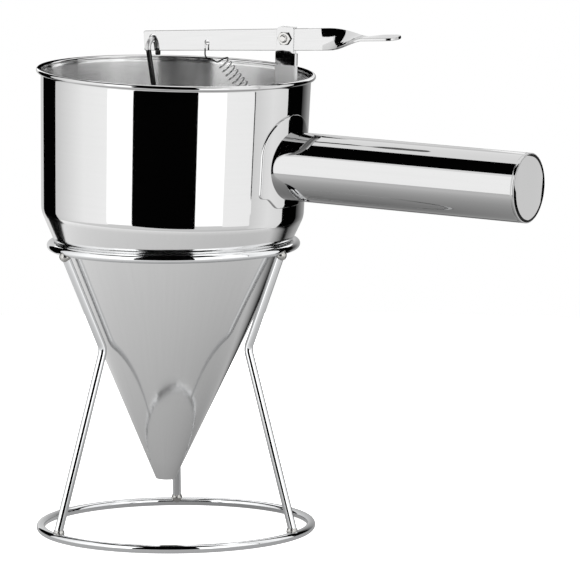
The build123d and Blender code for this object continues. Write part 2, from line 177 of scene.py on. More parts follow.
class Skin:
    """Faces of one piece while it is made, each corner with its place on the surface in millimetres."""

    def __init__(self) -> None:
        """Starts with nothing made."""
        self.points: list[tuple[float, ...]] = []
        self.faces: list[list[int]] = []
        self.places: list[list[tuple[float, float]]] = []
        self.finishes: list[int] = []

    @staticmethod
    def travelled(points: Array) -> Array:
        """Distance gone at each point of a line, and then on back to its first point."""
        steps = np.linalg.norm(np.roll(points, -1, axis=0) - points, axis=1)
        return np.concatenate([[0.0], np.cumsum(steps)])

    def grid(self, rows: Array, round_rows: bool = False, round_columns: bool = True,
             finish: int | Sequence[int] = 0) -> Array:
        """Adds a grid of four-sided faces.

        Args:
            rows: Points as rows, columns and coordinates.
            round_rows: Whether the last row joins the first.
            round_columns: Whether the last column joins the first.
            finish: Finish of all faces, or of each row of faces.

        Returns:
            Numbers of the points, as rows and columns.
        """
        count, columns = rows.shape[:2]
        index = len(self.points) + np.arange(count * columns).reshape(count, columns)
        self.points += [tuple(point) for point in rows.reshape(-1, 3)]
        along = self.travelled(rows[:, 0])
        widths = [self.travelled(row)[-1] for row in rows]
        around = self.travelled(rows[int(np.argmax(widths))])
        for i in range(count if round_rows else count - 1):
            for j in range(columns if round_columns else columns - 1):
                up, on = (i + 1) % count, (j + 1) % columns
                self.faces.append([int(k) for k in (index[i, j], index[i, on], index[up, on], index[up, j])])
                corners = ((j, i), (j + 1, i), (j + 1, i + 1), (j, i + 1))
                self.places.append([(around[a], along[b]) for a, b in corners])
                self.finishes.append(finish if isinstance(finish, int) else finish[i])
        return index

    def cap(self, ring_index: Array, finish: int = 0) -> None:
        """Closes a ring of points with faces to its middle.

        Args:
            ring_index: Numbers of the ring's points in order.
            finish: Finish of the faces.
        """
        count = len(ring_index)
        corners = np.array([self.points[k] for k in ring_index])
        middle = corners.mean(axis=0)
        reach = np.linalg.norm(corners - middle, axis=1)
        turns = np.arange(count + 1) * TURN / count
        self.points.append(tuple(middle))
        for k in range(count):
            on = (k + 1) % count
            self.faces.append([int(ring_index[k]), int(ring_index[on]), len(self.points) - 1])
            ends = ((reach[k], turns[k]), (reach[on], turns[k + 1]))
            self.places.append([(r * math.cos(t), r * math.sin(t)) for r, t in ends] + [(0.0, 0.0)])
            self.finishes.append(finish)

    def bar(self, rows: Array, finish: int | Sequence[int] = 0) -> None:
        """Adds a grid that is closed round its columns and capped at both ends.

        Args:
            rows: Points as rows, columns and coordinates.
            finish: Finish of all faces, or of each row of faces.
        """
        index = self.grid(rows, finish=finish)
        for end in (0, -1):
            self.cap(index[end], finish if isinstance(finish, int) else finish[end])

    def made(self, name: str, place: Matrix, finishes: Sequence["Finish"],
             sharp_deg: float = SHARP_DEG) -> bpy.types.Object:
        """Turns the faces into a mesh object in the row frame.

        Args:
            name: Name of the piece.
            place: Where the drawn piece goes, in millimetres.
            finishes: Finishes in the order of their numbers.
            sharp_deg: Edges that turn by more than this stay sharp.

        Returns:
            The object, which sits at the origin.
        """
        mesh = bpy.data.meshes.new(name)
        mesh.from_pydata(self.points, [], self.faces)
        layer = mesh.uv_layers.new(name=SURFACE_MAP)
        layer.uv.foreach_set("vector", [x for face in self.places for spot in face for x in spot])
        mesh.polygons.foreach_set("material_index", self.finishes)
        piece = placed(mesh, place, finishes)
        tidy = bmesh.new()
        tidy.from_mesh(mesh)
        bmesh.ops.recalc_face_normals(tidy, faces=tidy.faces)
        tidy.to_mesh(mesh)
        tidy.free()
        mesh.shade_smooth()
        mesh.set_sharp_from_angle(angle=math.radians(sharp_deg))
        return piece


def formed(name: str, place: Matrix, rows: Sequence[Array], finishes: Sequence["Finish"],
           sharp_deg: float = SHARP_DEG, finish: int | Sequence[int] = 0,
           closed: bool = False) -> bpy.types.Object:
    """Makes a piece from one grid of points.

    Args:
        name: Name of the piece.
        place: Where the drawn piece goes, in millimetres.
        rows: Rows of points round the piece.
        finishes: Finishes in the order of their numbers.
        sharp_deg: Edges that turn by more than this stay sharp.
        finish: Number of the finish of all faces, or of each row of faces.
        closed: Whether the last row joins the first, where both are capped otherwise.

    Returns:
        The object, which sits at the origin.
    """
    skin = Skin()
    if closed:
        skin.grid(np.array(rows), round_rows=True, finish=finish)
    else:
        skin.bar(np.array(rows), finish)
    return skin.made(name, place, finishes, sharp_deg)


def ring(radius: float | Array, height: float | Array, columns: int) -> Array:
    """Points round the upright axis, at one radius and height or at a pair of them for each point."""
    angles = np.arange(columns) * TURN / columns
    return np.stack([radius * np.cos(angles), radius * np.sin(angles), height + 0 * angles], axis=1)


def turned(profile: Sequence[Sequence[float]] | Array, columns: int) -> Array:
    """Rows of points round the upright axis, from the radius and height of each row."""
    return np.array([ring(radius, height, columns) for radius, height in profile])


def arc(start: Array, heading: Array, end: Array, step: float) -> Array:
    """Draws the arc that leaves a point with a heading and ends at another.

    Args:
        start: First point.
        heading: Unit heading at the first point.
        end: Point where the arc ends.
        step: Greatest distance between points.

    Returns:
        Points along the arc, without its end.
    """
    span = end - start
    across = span - span.dot(heading) * heading
    wide = float(np.linalg.norm(across))
    if wide < TINY:
        count = max(1, math.ceil(np.linalg.norm(span) / step))
        return start + np.linspace(0, 1, count, endpoint=False)[:, None] * span
    radius = span.dot(span) / (2 * wide)
    angle = 2 * math.atan2(wide, span.dot(heading))
    count = max(LEAST_ARC_POINTS, math.ceil(radius * angle / step))
    turns = np.linspace(0, angle, count, endpoint=False)[:, None]
    return start + radius * (np.sin(turns) * heading + (1 - np.cos(turns)) * across / wide)


def wire_path(stations: Sequence[tuple[Array, Array]], step: float) -> Array:
    """Draws the smooth line that a bent wire takes, with two arcs from each station to the next.

    Args:
        stations: Places, each with the wire's unit heading there.
        step: Greatest distance between points.

    Returns:
        Points along the wire.
    """
    runs = []
    for (start, leaving), (end, arriving) in zip(stations, stations[1:]):
        span = end - start
        turn = 2 * (1 - leaving.dot(arriving))
        along = span.dot(leaving + arriving)
        if turn < FINEST:
            reach = span.dot(span) / (2 * along)
        else:
            reach = (-along + math.sqrt(along * along + turn * span.dot(span))) / turn
        first, last = start + leaving * reach, end - arriving * reach
        middle = (first + last) / 2
        heading = last - first
        runs.append(arc(start, leaving, middle, step))
        runs.append(arc(middle, heading / np.linalg.norm(heading), end, step))
    runs.append(stations[-1][0][None])
    return np.concatenate(runs)


def wire(path: Array, radius: float, sides: int, end_round: float, finish: Array | None = None) -> Skin:
    """Draws a round wire with softened ends along a path.

    Args:
        path: Points along the wire.
        radius: Radius of the wire.
        sides: Points round the wire.
        end_round: Rounding of its cut ends.
        finish: Number of the finish at each point of the path, if there is more than one.

    Returns:
        The wire's faces.
    """
    headings = np.gradient(path, axis=0)
    headings /= np.linalg.norm(headings, axis=1)[:, None]
    across = np.cross(headings[0], np.eye(3)[int(np.argmin(np.abs(headings[0])))])
    angles = np.arange(sides)[:, None] * TURN / sides
    spokes = []
    for heading in headings:
        across = across - across.dot(heading) * heading
        across /= np.linalg.norm(across)
        spokes.append(np.cos(angles) * across + np.sin(angles) * np.cross(heading, across))
    rows = [place + radius * spoke for place, spoke in zip(path, spokes)]
    for end, way in ((0, -1.0), (-1, 1.0)):
        more = [path[end] + way * end_round * math.sin(t) * headings[end]
                + (radius - end_round * (1 - math.cos(t))) * spokes[end]
                for t in np.linspace(0, QUARTER, END_ROWS + 1)[1:]]
        rows = more[::-1] + rows if end == 0 else rows + more
    spread = np.zeros(len(path), int) if finish is None else finish.astype(int)
    skin = Skin()
    skin.bar(np.array(rows), np.pad(spread, END_ROWS, mode="edge").tolist())
    return skin


def apply_modifiers(piece: bpy.types.Object) -> bpy.types.Mesh:
    """Puts what a piece's modifiers make of its mesh in the mesh's place.

    Args:
        piece: Object with modifiers.

    Returns:
        The new mesh.
    """
    bpy.context.view_layer.update()
    graph = bpy.context.evaluated_depsgraph_get()
    mesh = bpy.data.meshes.new_from_object(piece.evaluated_get(graph), preserve_all_data_layers=True,
                                           depsgraph=graph)
    piece.modifiers.clear()
    piece.data = mesh
    mesh.name = piece.name
    return mesh


def drill(piece: bpy.types.Object, holes: Sequence[tuple[Matrix, float, float]]) -> None:
    """Bores round holes through a piece.

    Args:
        piece: Object to bore.
        holes: Place of each hole, along its own Z, with its radius and length in millimetres.
    """
    cutters = []
    for place, radius, length in holes:
        rows = turned([(radius, -length / 2), (radius, length / 2)], HOLE_SIDES)
        cutters.append(formed("cutter", place, rows, []))
        cut = piece.modifiers.new("hole", "BOOLEAN")
        cut.operation, cut.solver, cut.object = "DIFFERENCE", "EXACT", cutters[-1]
    mesh = apply_modifiers(piece)
    mesh.shade_smooth()
    mesh.set_sharp_from_angle(angle=math.radians(SHARP_DEG))
    for cutter in cutters:
        bpy.data.objects.remove(cutter)


def flatten(piece: bpy.types.Object) -> bpy.types.Object:
    """Gives flat faces even normals, so that only the rounded edges bend a reflection.

    Args:
        piece: Object whose sharp edges are marked.

    Returns:
        The same object with its new mesh.
    """
    piece.modifiers.new("flat", "WEIGHTED_NORMAL").keep_sharp = True
    apply_modifiers(piece)
    return piece


def settle(piece: bpy.types.Object, body: Body, slot: Slot, node: str, mirrored: bool = True) -> None:
    """Puts a piece on its body in place of the solid that it stands for.

    Args:
        piece: Object in place in the row frame.
        body: Body that carries it.
        slot: Material slot that it stands for; not used.
        node: Solid that it replaces.
        mirrored: Whether the pieces beside it mirror it.
    """
    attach(piece, body.value)
    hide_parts(node)
    piece.visible_glossy = mirrored
    log.info("%s: %d faces, on %s", piece.name, len(piece.data.polygons), body.value)


class Finish:
    """A surface that can be put on a mesh."""

    name: str

    def material(self) -> bpy.types.Material:
        """Finds this finish's material, or makes it on its first use.

        Returns:
            The material.
        """
        found = bpy.data.materials.get(self.name)
        if found is None:
            found = bpy.data.materials.new(self.name)
            found.use_nodes = True
            found.node_tree.nodes.clear()
            add_node(found.node_tree, "OutputMaterial", links={"Surface": self.draw(found.node_tree)})
        return found

    def draw(self, tree: bpy.types.NodeTree) -> bpy.types.NodeSocket:
        """Draws the finish's nodes in a tree and gives the shader's output."""
        raise NotImplementedError


@dataclass(frozen=True)
class MetalFinish(Finish):
    """A metal surface with the lines that its making left and a faint unevenness of the sheet or wire.

    The pattern of lines goes from the second colour to the first, and from the first roughness to the second.
    Lines have a gap, a length and a height, and waves a size and a height, in millimetres on the surface.
    Real lines are mostly too fine to show, so their gaps are drawn as coarse as they need to show.
    """

    name: str
    colours: tuple[str, str]
    roughness: tuple[float, float]
    lines: tuple[float, float, float]
    waves: tuple[float, float]
    grain: Grain = Grain.AROUND
    anisotropy: float = 0.0

    def draw(self, tree: bpy.types.NodeTree) -> bpy.types.NodeSocket:
        """Draws polishing lines over broad waves, in colour, roughness and relief.

        Args:
            tree: Tree that takes the nodes.

        Returns:
            The shader's output.
        """
        gap, length, height = self.lines
        wave_size, wave_height = self.waves
        around = self.grain is Grain.AROUND
        scale = (1 / length, 1 / gap, 1.0) if around else (1 / gap, 1 / length, 1.0)
        spot = add_node(tree, "UVMap", uv_map=SURFACE_MAP)
        stretched = add_node(tree, "Mapping", {"Scale": scale}, {"Vector": spot})
        lines = add_node(tree, "TexNoise", {"Scale": 1.0, "Detail": 2.0}, {"Vector": stretched})
        solid = add_node(tree, "TexCoord", out="Object")
        waves = add_node(tree, "TexNoise", {"Scale": 1 / (wave_size * MM), "Detail": 1.0}, {"Vector": solid})
        ends = {"A": linear(self.colours[1]), "B": linear(self.colours[0])}
        colour = add_node(tree, "Mix", ends, {"Factor": lines}, data_type="RGBA")
        span = {"From Min": USUAL_NOISE[0], "From Max": USUAL_NOISE[1],
                "To Min": self.roughness[0], "To Max": self.roughness[1]}
        rough = add_node(tree, "MapRange", span, {"Value": lines})
        fine = add_node(tree, "Bump", {"Distance": height * MM}, {"Height": lines})
        broad = add_node(tree, "Bump", {"Distance": wave_height * MM}, {"Height": waves, "Normal": fine})
        tangent = add_node(tree, "Tangent", direction_type="UV_MAP", uv_map=SURFACE_MAP)
        settings = {"Metallic": 1.0, "Anisotropic": self.anisotropy,
                    "Anisotropic Rotation": QUARTER / TURN if around else 0.0}
        return add_node(tree, "BsdfPrincipled", settings,
                        {"Base Color": colour, "Roughness": rough, "Normal": broad, "Tangent": tangent})


@dataclass(frozen=True)
class WeldFinish(Finish):
    """Stainless weld metal, brushed off: fairly bright, with frozen ripples and a trace of heat colour."""

    name: str = "weld_metal_stainless_brushed_off"
    pale: str = "#c2c2c1"
    straw: str = "#b0aea9"
    ripple_gap: float = 0.9
    ripple_height: float = 0.06
    patch_gap: float = 3.6
    roughness: float = 0.24

    def draw(self, tree: bpy.types.NodeTree) -> bpy.types.NodeSocket:
        """Draws ripples as relief and heat colour as broad patches.

        Args:
            tree: Tree that takes the nodes.

        Returns:
            The shader's output.
        """
        solid = add_node(tree, "TexCoord", out="Object")
        ripples = add_node(tree, "TexNoise", {"Scale": 1 / (self.ripple_gap * MM), "Detail": 3.0},
                           {"Vector": solid})
        patches = add_node(tree, "TexNoise", {"Scale": 1 / (self.patch_gap * MM)}, {"Vector": solid})
        ends = {"A": linear(self.straw), "B": linear(self.pale)}
        colour = add_node(tree, "Mix", ends, {"Factor": patches}, data_type="RGBA")
        relief = add_node(tree, "Bump", {"Distance": self.ripple_height * MM}, {"Height": ripples})
        return add_node(tree, "BsdfPrincipled", {"Metallic": 1.0, "Roughness": self.roughness},
                        {"Base Color": colour, "Normal": relief})


@dataclass(frozen=True)
class PlasticFinish(Finish):
    """White food-safe acetal turned on a lathe: milky, with fine rings from the tool."""

    name: str = "acetal_white_turned"
    pale: str = "#f3f1ea"
    deep: str = "#e4e1d6"
    ring_gap: float = 0.35
    ring_length: float = 50.0
    ring_height: float = 0.02
    roughness: float = 0.38
    ior: float = 1.48
    milkiness: float = 0.15
    milk_depth: float = 2.0

    def draw(self, tree: bpy.types.NodeTree) -> bpy.types.NodeSocket:
        """Draws the tool's rings.

        Args:
            tree: Tree that takes the nodes.

        Returns:
            The shader's output.
        """
        spot = add_node(tree, "UVMap", uv_map=SURFACE_MAP)
        scale = (1 / self.ring_length, 1 / self.ring_gap, 1.0)
        stretched = add_node(tree, "Mapping", {"Scale": scale}, {"Vector": spot})
        rings = add_node(tree, "TexNoise", {"Scale": 1.0}, {"Vector": stretched})
        ends = {"A": linear(self.deep), "B": linear(self.pale)}
        colour = add_node(tree, "Mix", ends, {"Factor": rings}, data_type="RGBA")
        relief = add_node(tree, "Bump", {"Distance": self.ring_height * MM}, {"Height": rings})
        settings = {"Roughness": self.roughness, "IOR": self.ior, "Subsurface Weight": self.milkiness,
                    "Subsurface Scale": self.milk_depth * MM}
        return add_node(tree, "BsdfPrincipled", settings, {"Base Color": colour, "Normal": relief})


# Stainless sheet, spun and then mirror-buffed on a wheel: clean, dark-and-light reflections, faintly wavy.
MIRROR_SHEET = MetalFinish("stainless_sheet_mirror_buffed", ("#cccccc", "#c9c9c9"), (0.02, 0.04),
                           lines=(2.0, 90.0, 0.0001), waves=(45.0, 0.003))
# The cone's sheet, buffed more lightly along its slope: near things reflect sharply and far ones blur.
BUFFED_CONE = MetalFinish("stainless_sheet_soft_buffed", ("#eeeeee", "#e9e9e9"), (0.09, 0.13),
                          lines=(2.5, 60.0, 0.0002), waves=(40.0, 0.003), grain=Grain.ALONG)
# The same sheet inside, left satin from an abrasive belt that ran round it: reflections smear up and down.
# Real grit lines are 0.1 mm apart, and these are eight times as coarse.
SATIN_SHEET = MetalFinish("stainless_sheet_satin_belt", ("#ececec", "#e2e2e2"), (0.22, 0.26),
                          lines=(0.8, 30.0, 0.0006), waves=(30.0, 0.003), anisotropy=1.0)
# Stainless tube, mirror-buffed along its length: long clean reflections, a little darker than the sheet's.
MIRROR_TUBE = MetalFinish("stainless_tube_mirror_buffed", ("#b6b6b6", "#b2b2b2"), (0.02, 0.04),
                          lines=(2.0, 120.0, 0.0001), waves=(60.0, 0.002), grain=Grain.ALONG)
# The seam groove round the handle's end disc, painted black as shade, next to nothing over one arc.
PAINTED_SHADE_SEAM = MetalFinish("stainless_seam_painted_shade", ("#050505", "#030303"), (0.5, 0.6),
                          lines=(0.5, 6.0, 0.001), waves=(3.0, 0.003))
# Stainless strip, sheared and tumbled bright: a light haze with lines along the rolling.
BRIGHT_STRIP = MetalFinish("stainless_strip_tumbled", ("#bababa", "#b2b2b2"), (0.05, 0.09),
                           lines=(0.7, 25.0, 0.0004), waves=(14.0, 0.002), grain=Grain.ALONG)
# The strip's cut edges, left matt by the shear: they scatter light and mirror nothing.
SHEARED_EDGE = MetalFinish("stainless_strip_sheared_edge", ("#f0f0f0", "#e4e4e4"), (0.85, 0.95),
                           lines=(0.2, 2.0, 0.002), waves=(3.0, 0.002), grain=Grain.ALONG)
# The bracket's lower cheeks, matt and painted pale as light, with lines along the strip.
PAINTED_LIGHT_STRIP = MetalFinish("stainless_strip_matt_with_painted_light", ("#f2f2f2", "#e8e8e8"), (0.75, 0.85),
                            lines=(0.3, 15.0, 0.001), waves=(6.0, 0.002), grain=Grain.ALONG)
# Stainless wire coloured dark, die lines along it, only a dim shine; on the spring's neck the dark is painted
# shade.
DARK_WIRE_AND_PAINTED_SHADE = MetalFinish("stainless_wire_dark_and_painted_shade", ("#3c3c3c", "#303030"), (0.06, 0.1),
                         lines=(0.3, 20.0, 0.001), waves=(6.0, 0.003), grain=Grain.ALONG)
# The same wire on the hook's near side, pale and matt: a painted highlight.
PAINTED_HIGHLIGHT_WIRE = MetalFinish("stainless_wire_pale_painted_highlight", ("#e6e6e6", "#dadada"), (0.4, 0.5),
                        lines=(0.3, 20.0, 0.001), waves=(6.0, 0.003), grain=Grain.ALONG)
# Spring wire, drawn and then wound: bright with a slight haze.
SPRING_STEEL = MetalFinish("stainless_spring_wire", ("#e2e2e2", "#d8d8d8"), (0.03, 0.06),
                           lines=(0.2, 12.0, 0.0006), waves=(4.0, 0.002), grain=Grain.ALONG)
# Mild steel wire, bent, welded and nickel-chrome plated: bright with a soft orange peel.
PLATED_WIRE = MetalFinish("steel_wire_chrome_plated", ("#e4e5e6", "#dedfe0"), (0.03, 0.06),
                          lines=(2.0, 40.0, 0.0001), waves=(5.0, 0.0015), grain=Grain.ALONG)
# Plated hexagon nut and bolt: rolled faces with fine rings.
PLATED_FASTENER = MetalFinish("steel_fastener_nickel_plated", ("#c2c1bf", "#aeadab"), (0.1, 0.18),
                              lines=(0.4, 8.0, 0.001), waves=(3.0, 0.003))
# Stainless weld metal, brushed off: small soft glints and a trace of straw colour.
WELD = WeldFinish()
# Turned acetal: milky white with a soft sheen.
ACETAL = PlasticFinish()


@dataclass(frozen=True)
class Placement:
    """How the funnel leans in its stand and how the lever's plane is swung from the handle's."""

    lean_deg: float = 2.3
    lean_centre_z: float = 197.42
    swing_deg: float = 5.0

    def funnel(self) -> Matrix:
        """Place of what is drawn on the funnel's axis."""
        centre = Matrix.Translation((0, 0, self.lean_centre_z))
        return centre @ Matrix.Rotation(math.radians(self.lean_deg), 4, "Y") @ centre.inverted()

    def lever(self) -> Matrix:
        """Place of what is drawn in the lever's plane."""
        return self.funnel() @ Matrix.Rotation(math.radians(self.swing_deg), 4, "Z")


@dataclass
class FunnelBody:
    """Bowl with its beaded lip and the cone below it, from one thickness of sheet."""

    place: Placement
    sheet: float = 0.9
    shoulder_r: float = 74.75
    shoulder_z: float = 184.0
    shoulder_bend: float = 14.0
    wall_top_r: float = 76.78
    wall_top_z: float = 261.9
    lip_bend: float = 2.8
    lip_turn_deg: float = 64.0
    bead_r: float = 1.5
    cone_half_deg: float = 24.2
    seam_drop: float = 6.0
    outlet_z: float = 29.0
    outlet_round: float = 0.15
    bend_rows: int = 14
    wall_rows: int = 12
    lip_rows: int = 16
    bead_rows: int = 40
    cone_rows: int = 14
    soft_rows: int = 7
    columns: int = 360

    @property
    def cone_angle(self) -> float:
        """Angle of the cone's side to its axis."""
        return math.radians(self.cone_half_deg)

    @property
    def wall_slope(self) -> float:
        """How far the bowl's wall widens for its height."""
        return (self.wall_top_r - self.shoulder_r) / (self.wall_top_z - self.shoulder_z)

    @property
    def half_wall(self) -> float:
        """Half the wall's thickness, measured level."""
        return self.sheet / 2 * math.hypot(1, self.wall_slope)

    @property
    def seam(self) -> Array:
        """Radius and height of the middle of the sheet where the bowl meets the cone."""
        height = self.shoulder_z - self.seam_drop
        return np.array([self.cone_radius(height), height])

    def cone_radius(self, height: float) -> float:
        """Radius of the middle of the cone's sheet at a height."""
        return self.shoulder_r - (self.shoulder_z - height) * math.tan(self.cone_angle)

    def outside(self, height: float | Array, extra: float) -> float | Array:
        """Radius of the wall's outer face at a height, made larger by an extra thickness."""
        return self.shoulder_r + (height - self.shoulder_z) * self.wall_slope + self.half_wall + extra

    @staticmethod
    def ahead(angle: float) -> Array:
        """Unit step up a side that leans out by an angle, in radius and height."""
        return np.array([math.sin(angle), math.cos(angle)])

    @staticmethod
    def outward(angle: float) -> Array:
        """Unit step out of a side that leans out by an angle, in radius and height."""
        return np.array([math.cos(angle), -math.sin(angle)])

    def side(self) -> tuple[Array, Array]:
        """Draws the middle line of the bowl's sheet from the seam to the lip.

        Returns:
            Radius and height of each point, and the angle by which the side leans out there.
        """
        low, high = self.cone_angle, math.atan(self.wall_slope)
        corner = np.array([self.shoulder_r, self.shoulder_z])
        top = np.array([self.wall_top_r, self.wall_top_z])
        back = self.shoulder_bend * math.tan((low - high) / 2)
        bend_end = corner + back * self.ahead(high)
        bend_centre = corner - back * self.ahead(low) - self.shoulder_bend * self.outward(low)
        lip_centre = top + self.lip_bend * self.outward(high)
        bend = np.linspace(low, high, self.bend_rows)
        wall = np.linspace(0, 1, self.wall_rows)[1:-1]
        lip = np.linspace(high, high + math.radians(self.lip_turn_deg), self.lip_rows)
        points = [self.seam, *(bend_centre + self.shoulder_bend * self.outward(angle) for angle in bend),
                  *(bend_end + share * (top - bend_end) for share in wall),
                  *(lip_centre - self.lip_bend * self.outward(angle) for angle in lip)]
        return np.array(points), np.concatenate([[low], bend, np.full(len(wall), high), lip])

    def bowl(self) -> None:
        """Makes the bowl with its bead: mirror outside, as soft as the cone below its bend, satin inside."""
        line, angles = self.side()
        out = np.array([self.outward(angle) for angle in angles])
        end = line[-1]
        meet = math.asin(self.sheet / 2 / self.bead_r)
        kept = np.linalg.norm(line - end, axis=1) > self.bead_r * math.cos(meet)
        turns = np.linspace(math.pi - meet, meet - math.pi, self.bead_rows)[:, None]
        bead = end + self.bead_r * (np.cos(turns) * self.ahead(angles[-1]) + np.sin(turns) * out[-1])
        outer = (line + self.sheet / 2 * out)[kept]
        inner = (line - self.sheet / 2 * out)[kept][::-1]
        mirror, satin, soft = range(3)
        finish = [soft] * self.soft_rows + [mirror] * (len(outer) - self.soft_rows + len(bead))
        finish += [satin] * len(inner)
        rows = turned(np.concatenate([outer, bead, inner]), self.columns)
        piece = formed("bowl_sheet", self.place.funnel(), rows, [MIRROR_SHEET, SATIN_SHEET, BUFFED_CONE],
                       finish=finish, closed=True)
        settle(piece, Body.FUNNEL, Slot.SHEET, "bowl")

    def cone(self) -> None:
        """Makes the cone, soft-buffed outside and satin inside, ground flat at the outlet."""
        half = self.sheet / 2 * self.outward(self.cone_angle)
        level = self.sheet / 2 / math.cos(self.cone_angle)
        low_r, low_z, cut = self.cone_radius(self.outlet_z), self.outlet_z, self.outlet_round
        lean = cut * math.tan(self.cone_angle)
        foot = np.array([(low_r + level + lean, low_z + cut), (low_r + level - cut, low_z),
                         (low_r - level + cut, low_z), (low_r - level + lean, low_z + cut)])
        shares = np.linspace(0, 1, self.cone_rows)[:-1, None]
        outer, inner = (start + shares * (stop - start)
                        for start, stop in ((self.seam + half, foot[0]), (self.seam - half, foot[3])))
        buffed, satin = range(2)
        finish = [buffed] * (len(outer) + 2) + [satin] * (len(inner) + 2)
        rows = turned(np.concatenate([outer, foot, inner[::-1]]), self.columns)
        piece = formed("cone_sheet", self.place.funnel(), rows, [BUFFED_CONE, SATIN_SHEET],
                       finish=finish, closed=True)
        settle(piece, Body.FUNNEL, Slot.SHEET, "cone")

    def build(self) -> None:
        """Makes the bowl and the cone."""
        self.bowl()
        self.cone()


@dataclass
class Handle:
    """Saddle plate, tube and end disc.

    The photograph's bowl mirrors the studio and not the handle, so the tube and the disc are not mirrored.
    """

    place: Placement
    funnel: FunnelBody
    dia: float = 39.0
    wall: float = 1.2
    axis_z: float = 217.05
    rise_deg: float = 0.42
    reach: float = 228.4
    cope_rounds: int = 8
    tube_rows: int = 16
    cap_edge: float = 0.5
    cap_body: float = 2.0
    cap_crown: float = 1.3
    cap_back: float = 3.6
    edge_rows: int = 10
    crown_first_r: float = 0.3
    crown_rows: int = 14
    groove: float = 0.06
    seam_least: float = 0.15
    seam_level: float = 1.1
    seam_sides: float = 1.2
    seam_depth: float = 0.5
    seam_clear: float = 1.2
    faint_shade_deg: tuple[float, float] = (192.0, 258.0)
    faint_shade_run_deg: float = 14.0
    saddle_width: float = 52.0
    saddle_arch_up: float = 7.2
    saddle_arch_rise: float = 22.5
    saddle_straight: float = 16.6
    saddle_tab: float = 40.6
    saddle_below: float = 22.9
    saddle_foot: float = 25.0
    saddle_sheet: float = 1.2
    saddle_edge: float = 0.45
    saddle_edge_rows: int = 6
    saddle_face: tuple[float, ...] = (0.25, 0.5, 0.62, 0.72, 0.8, 0.87, 0.93)
    saddle_back: tuple[float, ...] = (1.0, 0.87, 0.62, 0.25)
    saddle_rounds: int = 3
    columns: int = 192

    @property
    def tube_end(self) -> float:
        """Distance of the tube's end from the funnel's axis."""
        return self.reach - self.cap_body - self.cap_crown

    def axis(self) -> Matrix:
        """Place of what is drawn along the handle's own axis."""
        turn = Matrix.Rotation(math.radians(90 - self.rise_deg), 4, "Y")
        return Matrix.Translation((0, 0, self.axis_z)) @ turn

    def coped(self, radius: float) -> Array:
        """Finds where a tube meets the saddle's outer face.

        Args:
            radius: Radius of the tube.

        Returns:
            One point for each column.
        """
        matrix = np.array(self.axis())
        base = ring(radius, 0.0, self.columns) @ matrix[:3, :3].T + matrix[:3, 3]
        way = matrix[:3, 2]
        length = np.full(self.columns, self.funnel.wall_top_r)
        for _ in range(self.cope_rounds):
            spots = base + length[:, None] * way
            outer = self.funnel.outside(spots[:, 2], self.saddle_sheet)
            length += (np.sqrt(outer**2 - spots[:, 1] ** 2) - spots[:, 0]) / way[0]
        return base + length[:, None] * way

    def tube(self) -> None:
        """Makes the tube, coped to the saddle, with a fine groove before the disc."""
        outer_r, inner_r = self.dia / 2, self.dia / 2 - self.wall
        matrix = np.array(self.axis())
        spokes = ring(1.0, 0.0, self.columns) @ matrix[:3, :3].T
        outer_root, inner_root = self.coped(outer_r), self.coped(inner_r)
        end, groove = self.tube_end, self.groove
        stop, lip, back = (matrix[:3, 3] + along * matrix[:3, 2] + radius * spokes for along, radius in
                           ((end - groove, outer_r), (end, outer_r - groove), (end, inner_r)))
        shares = np.linspace(0, 1, self.tube_rows)[:, None, None]
        rows = [*(outer_root + shares * (stop - outer_root)), lip, *(back + shares * (inner_root - back))]
        piece = formed("handle_tube_shell", self.place.funnel(), rows, [MIRROR_TUBE], closed=True)
        settle(piece, Body.FUNNEL, Slot.TUBE, "handle_tube", mirrored=False)

    def seam_widths(self) -> Array:
        """Finds the width of the end disc's painted-shade seam: widest at the sides, next to nothing over one
        arc.

        Returns:
            One width for each column.
        """
        turns = np.arange(self.columns) * 360 / self.columns
        low, high = self.faint_shade_deg
        kept = np.clip(np.maximum(low - turns, turns - high) / self.faint_shade_run_deg, 0.0, 1.0)
        sides = self.seam_sides * np.abs(np.sin(np.radians(turns)))
        return self.seam_least + kept * (self.seam_level + sides)

    def end_disc(self) -> None:
        """Makes the crowned end disc, with a rounded edge and a seam painted black as shade, narrowest over
        one arc.
        """
        radius, face_r = self.dia / 2, self.dia / 2 - self.cap_edge
        crown_r = (face_r**2 + self.cap_crown**2) / (2 * self.cap_crown)
        centre = self.cap_body + self.cap_crown - crown_r
        widths = self.seam_widths()
        reach = np.linspace(self.crown_first_r, face_r - self.seam_clear * widths.max(), self.crown_rows)
        crown = turned(np.stack([reach, centre + np.sqrt(crown_r**2 - reach**2)], axis=1), self.columns)
        lip_r = face_r - widths
        lip_z = centre + np.sqrt(crown_r**2 - lip_r**2)
        floor_z = lip_z - self.seam_depth * widths
        seam = [ring(r, z, self.columns) for r, z in ((lip_r, lip_z), (lip_r, floor_z), (face_r, floor_z))]
        edge = [(face_r + self.cap_edge * math.cos(t), self.cap_body + self.cap_edge * (math.sin(t) - 1))
                for t in np.linspace(QUARTER, 0, self.edge_rows)]
        base = [(radius, self.groove), (radius - self.groove, 0.0), (radius - self.cap_back, 0.0)]
        rim = turned(edge + base, self.columns)
        bright, dark = range(2)
        # The seam's faces are painted black as shade.
        finish = [bright] * len(crown) + [dark] * len(seam) + [bright] * (len(rim) - 1)
        place = self.place.funnel() @ self.axis() @ Matrix.Translation((0, 0, self.tube_end))
        piece = formed("handle_end_disc", place, [*crown, *seam, *rim], [MIRROR_TUBE, PAINTED_SHADE_SEAM],
                       SOFT_SHARP_DEG, finish)
        settle(piece, Body.FUNNEL, Slot.SHEET, "handle_end_cap", mirrored=False)

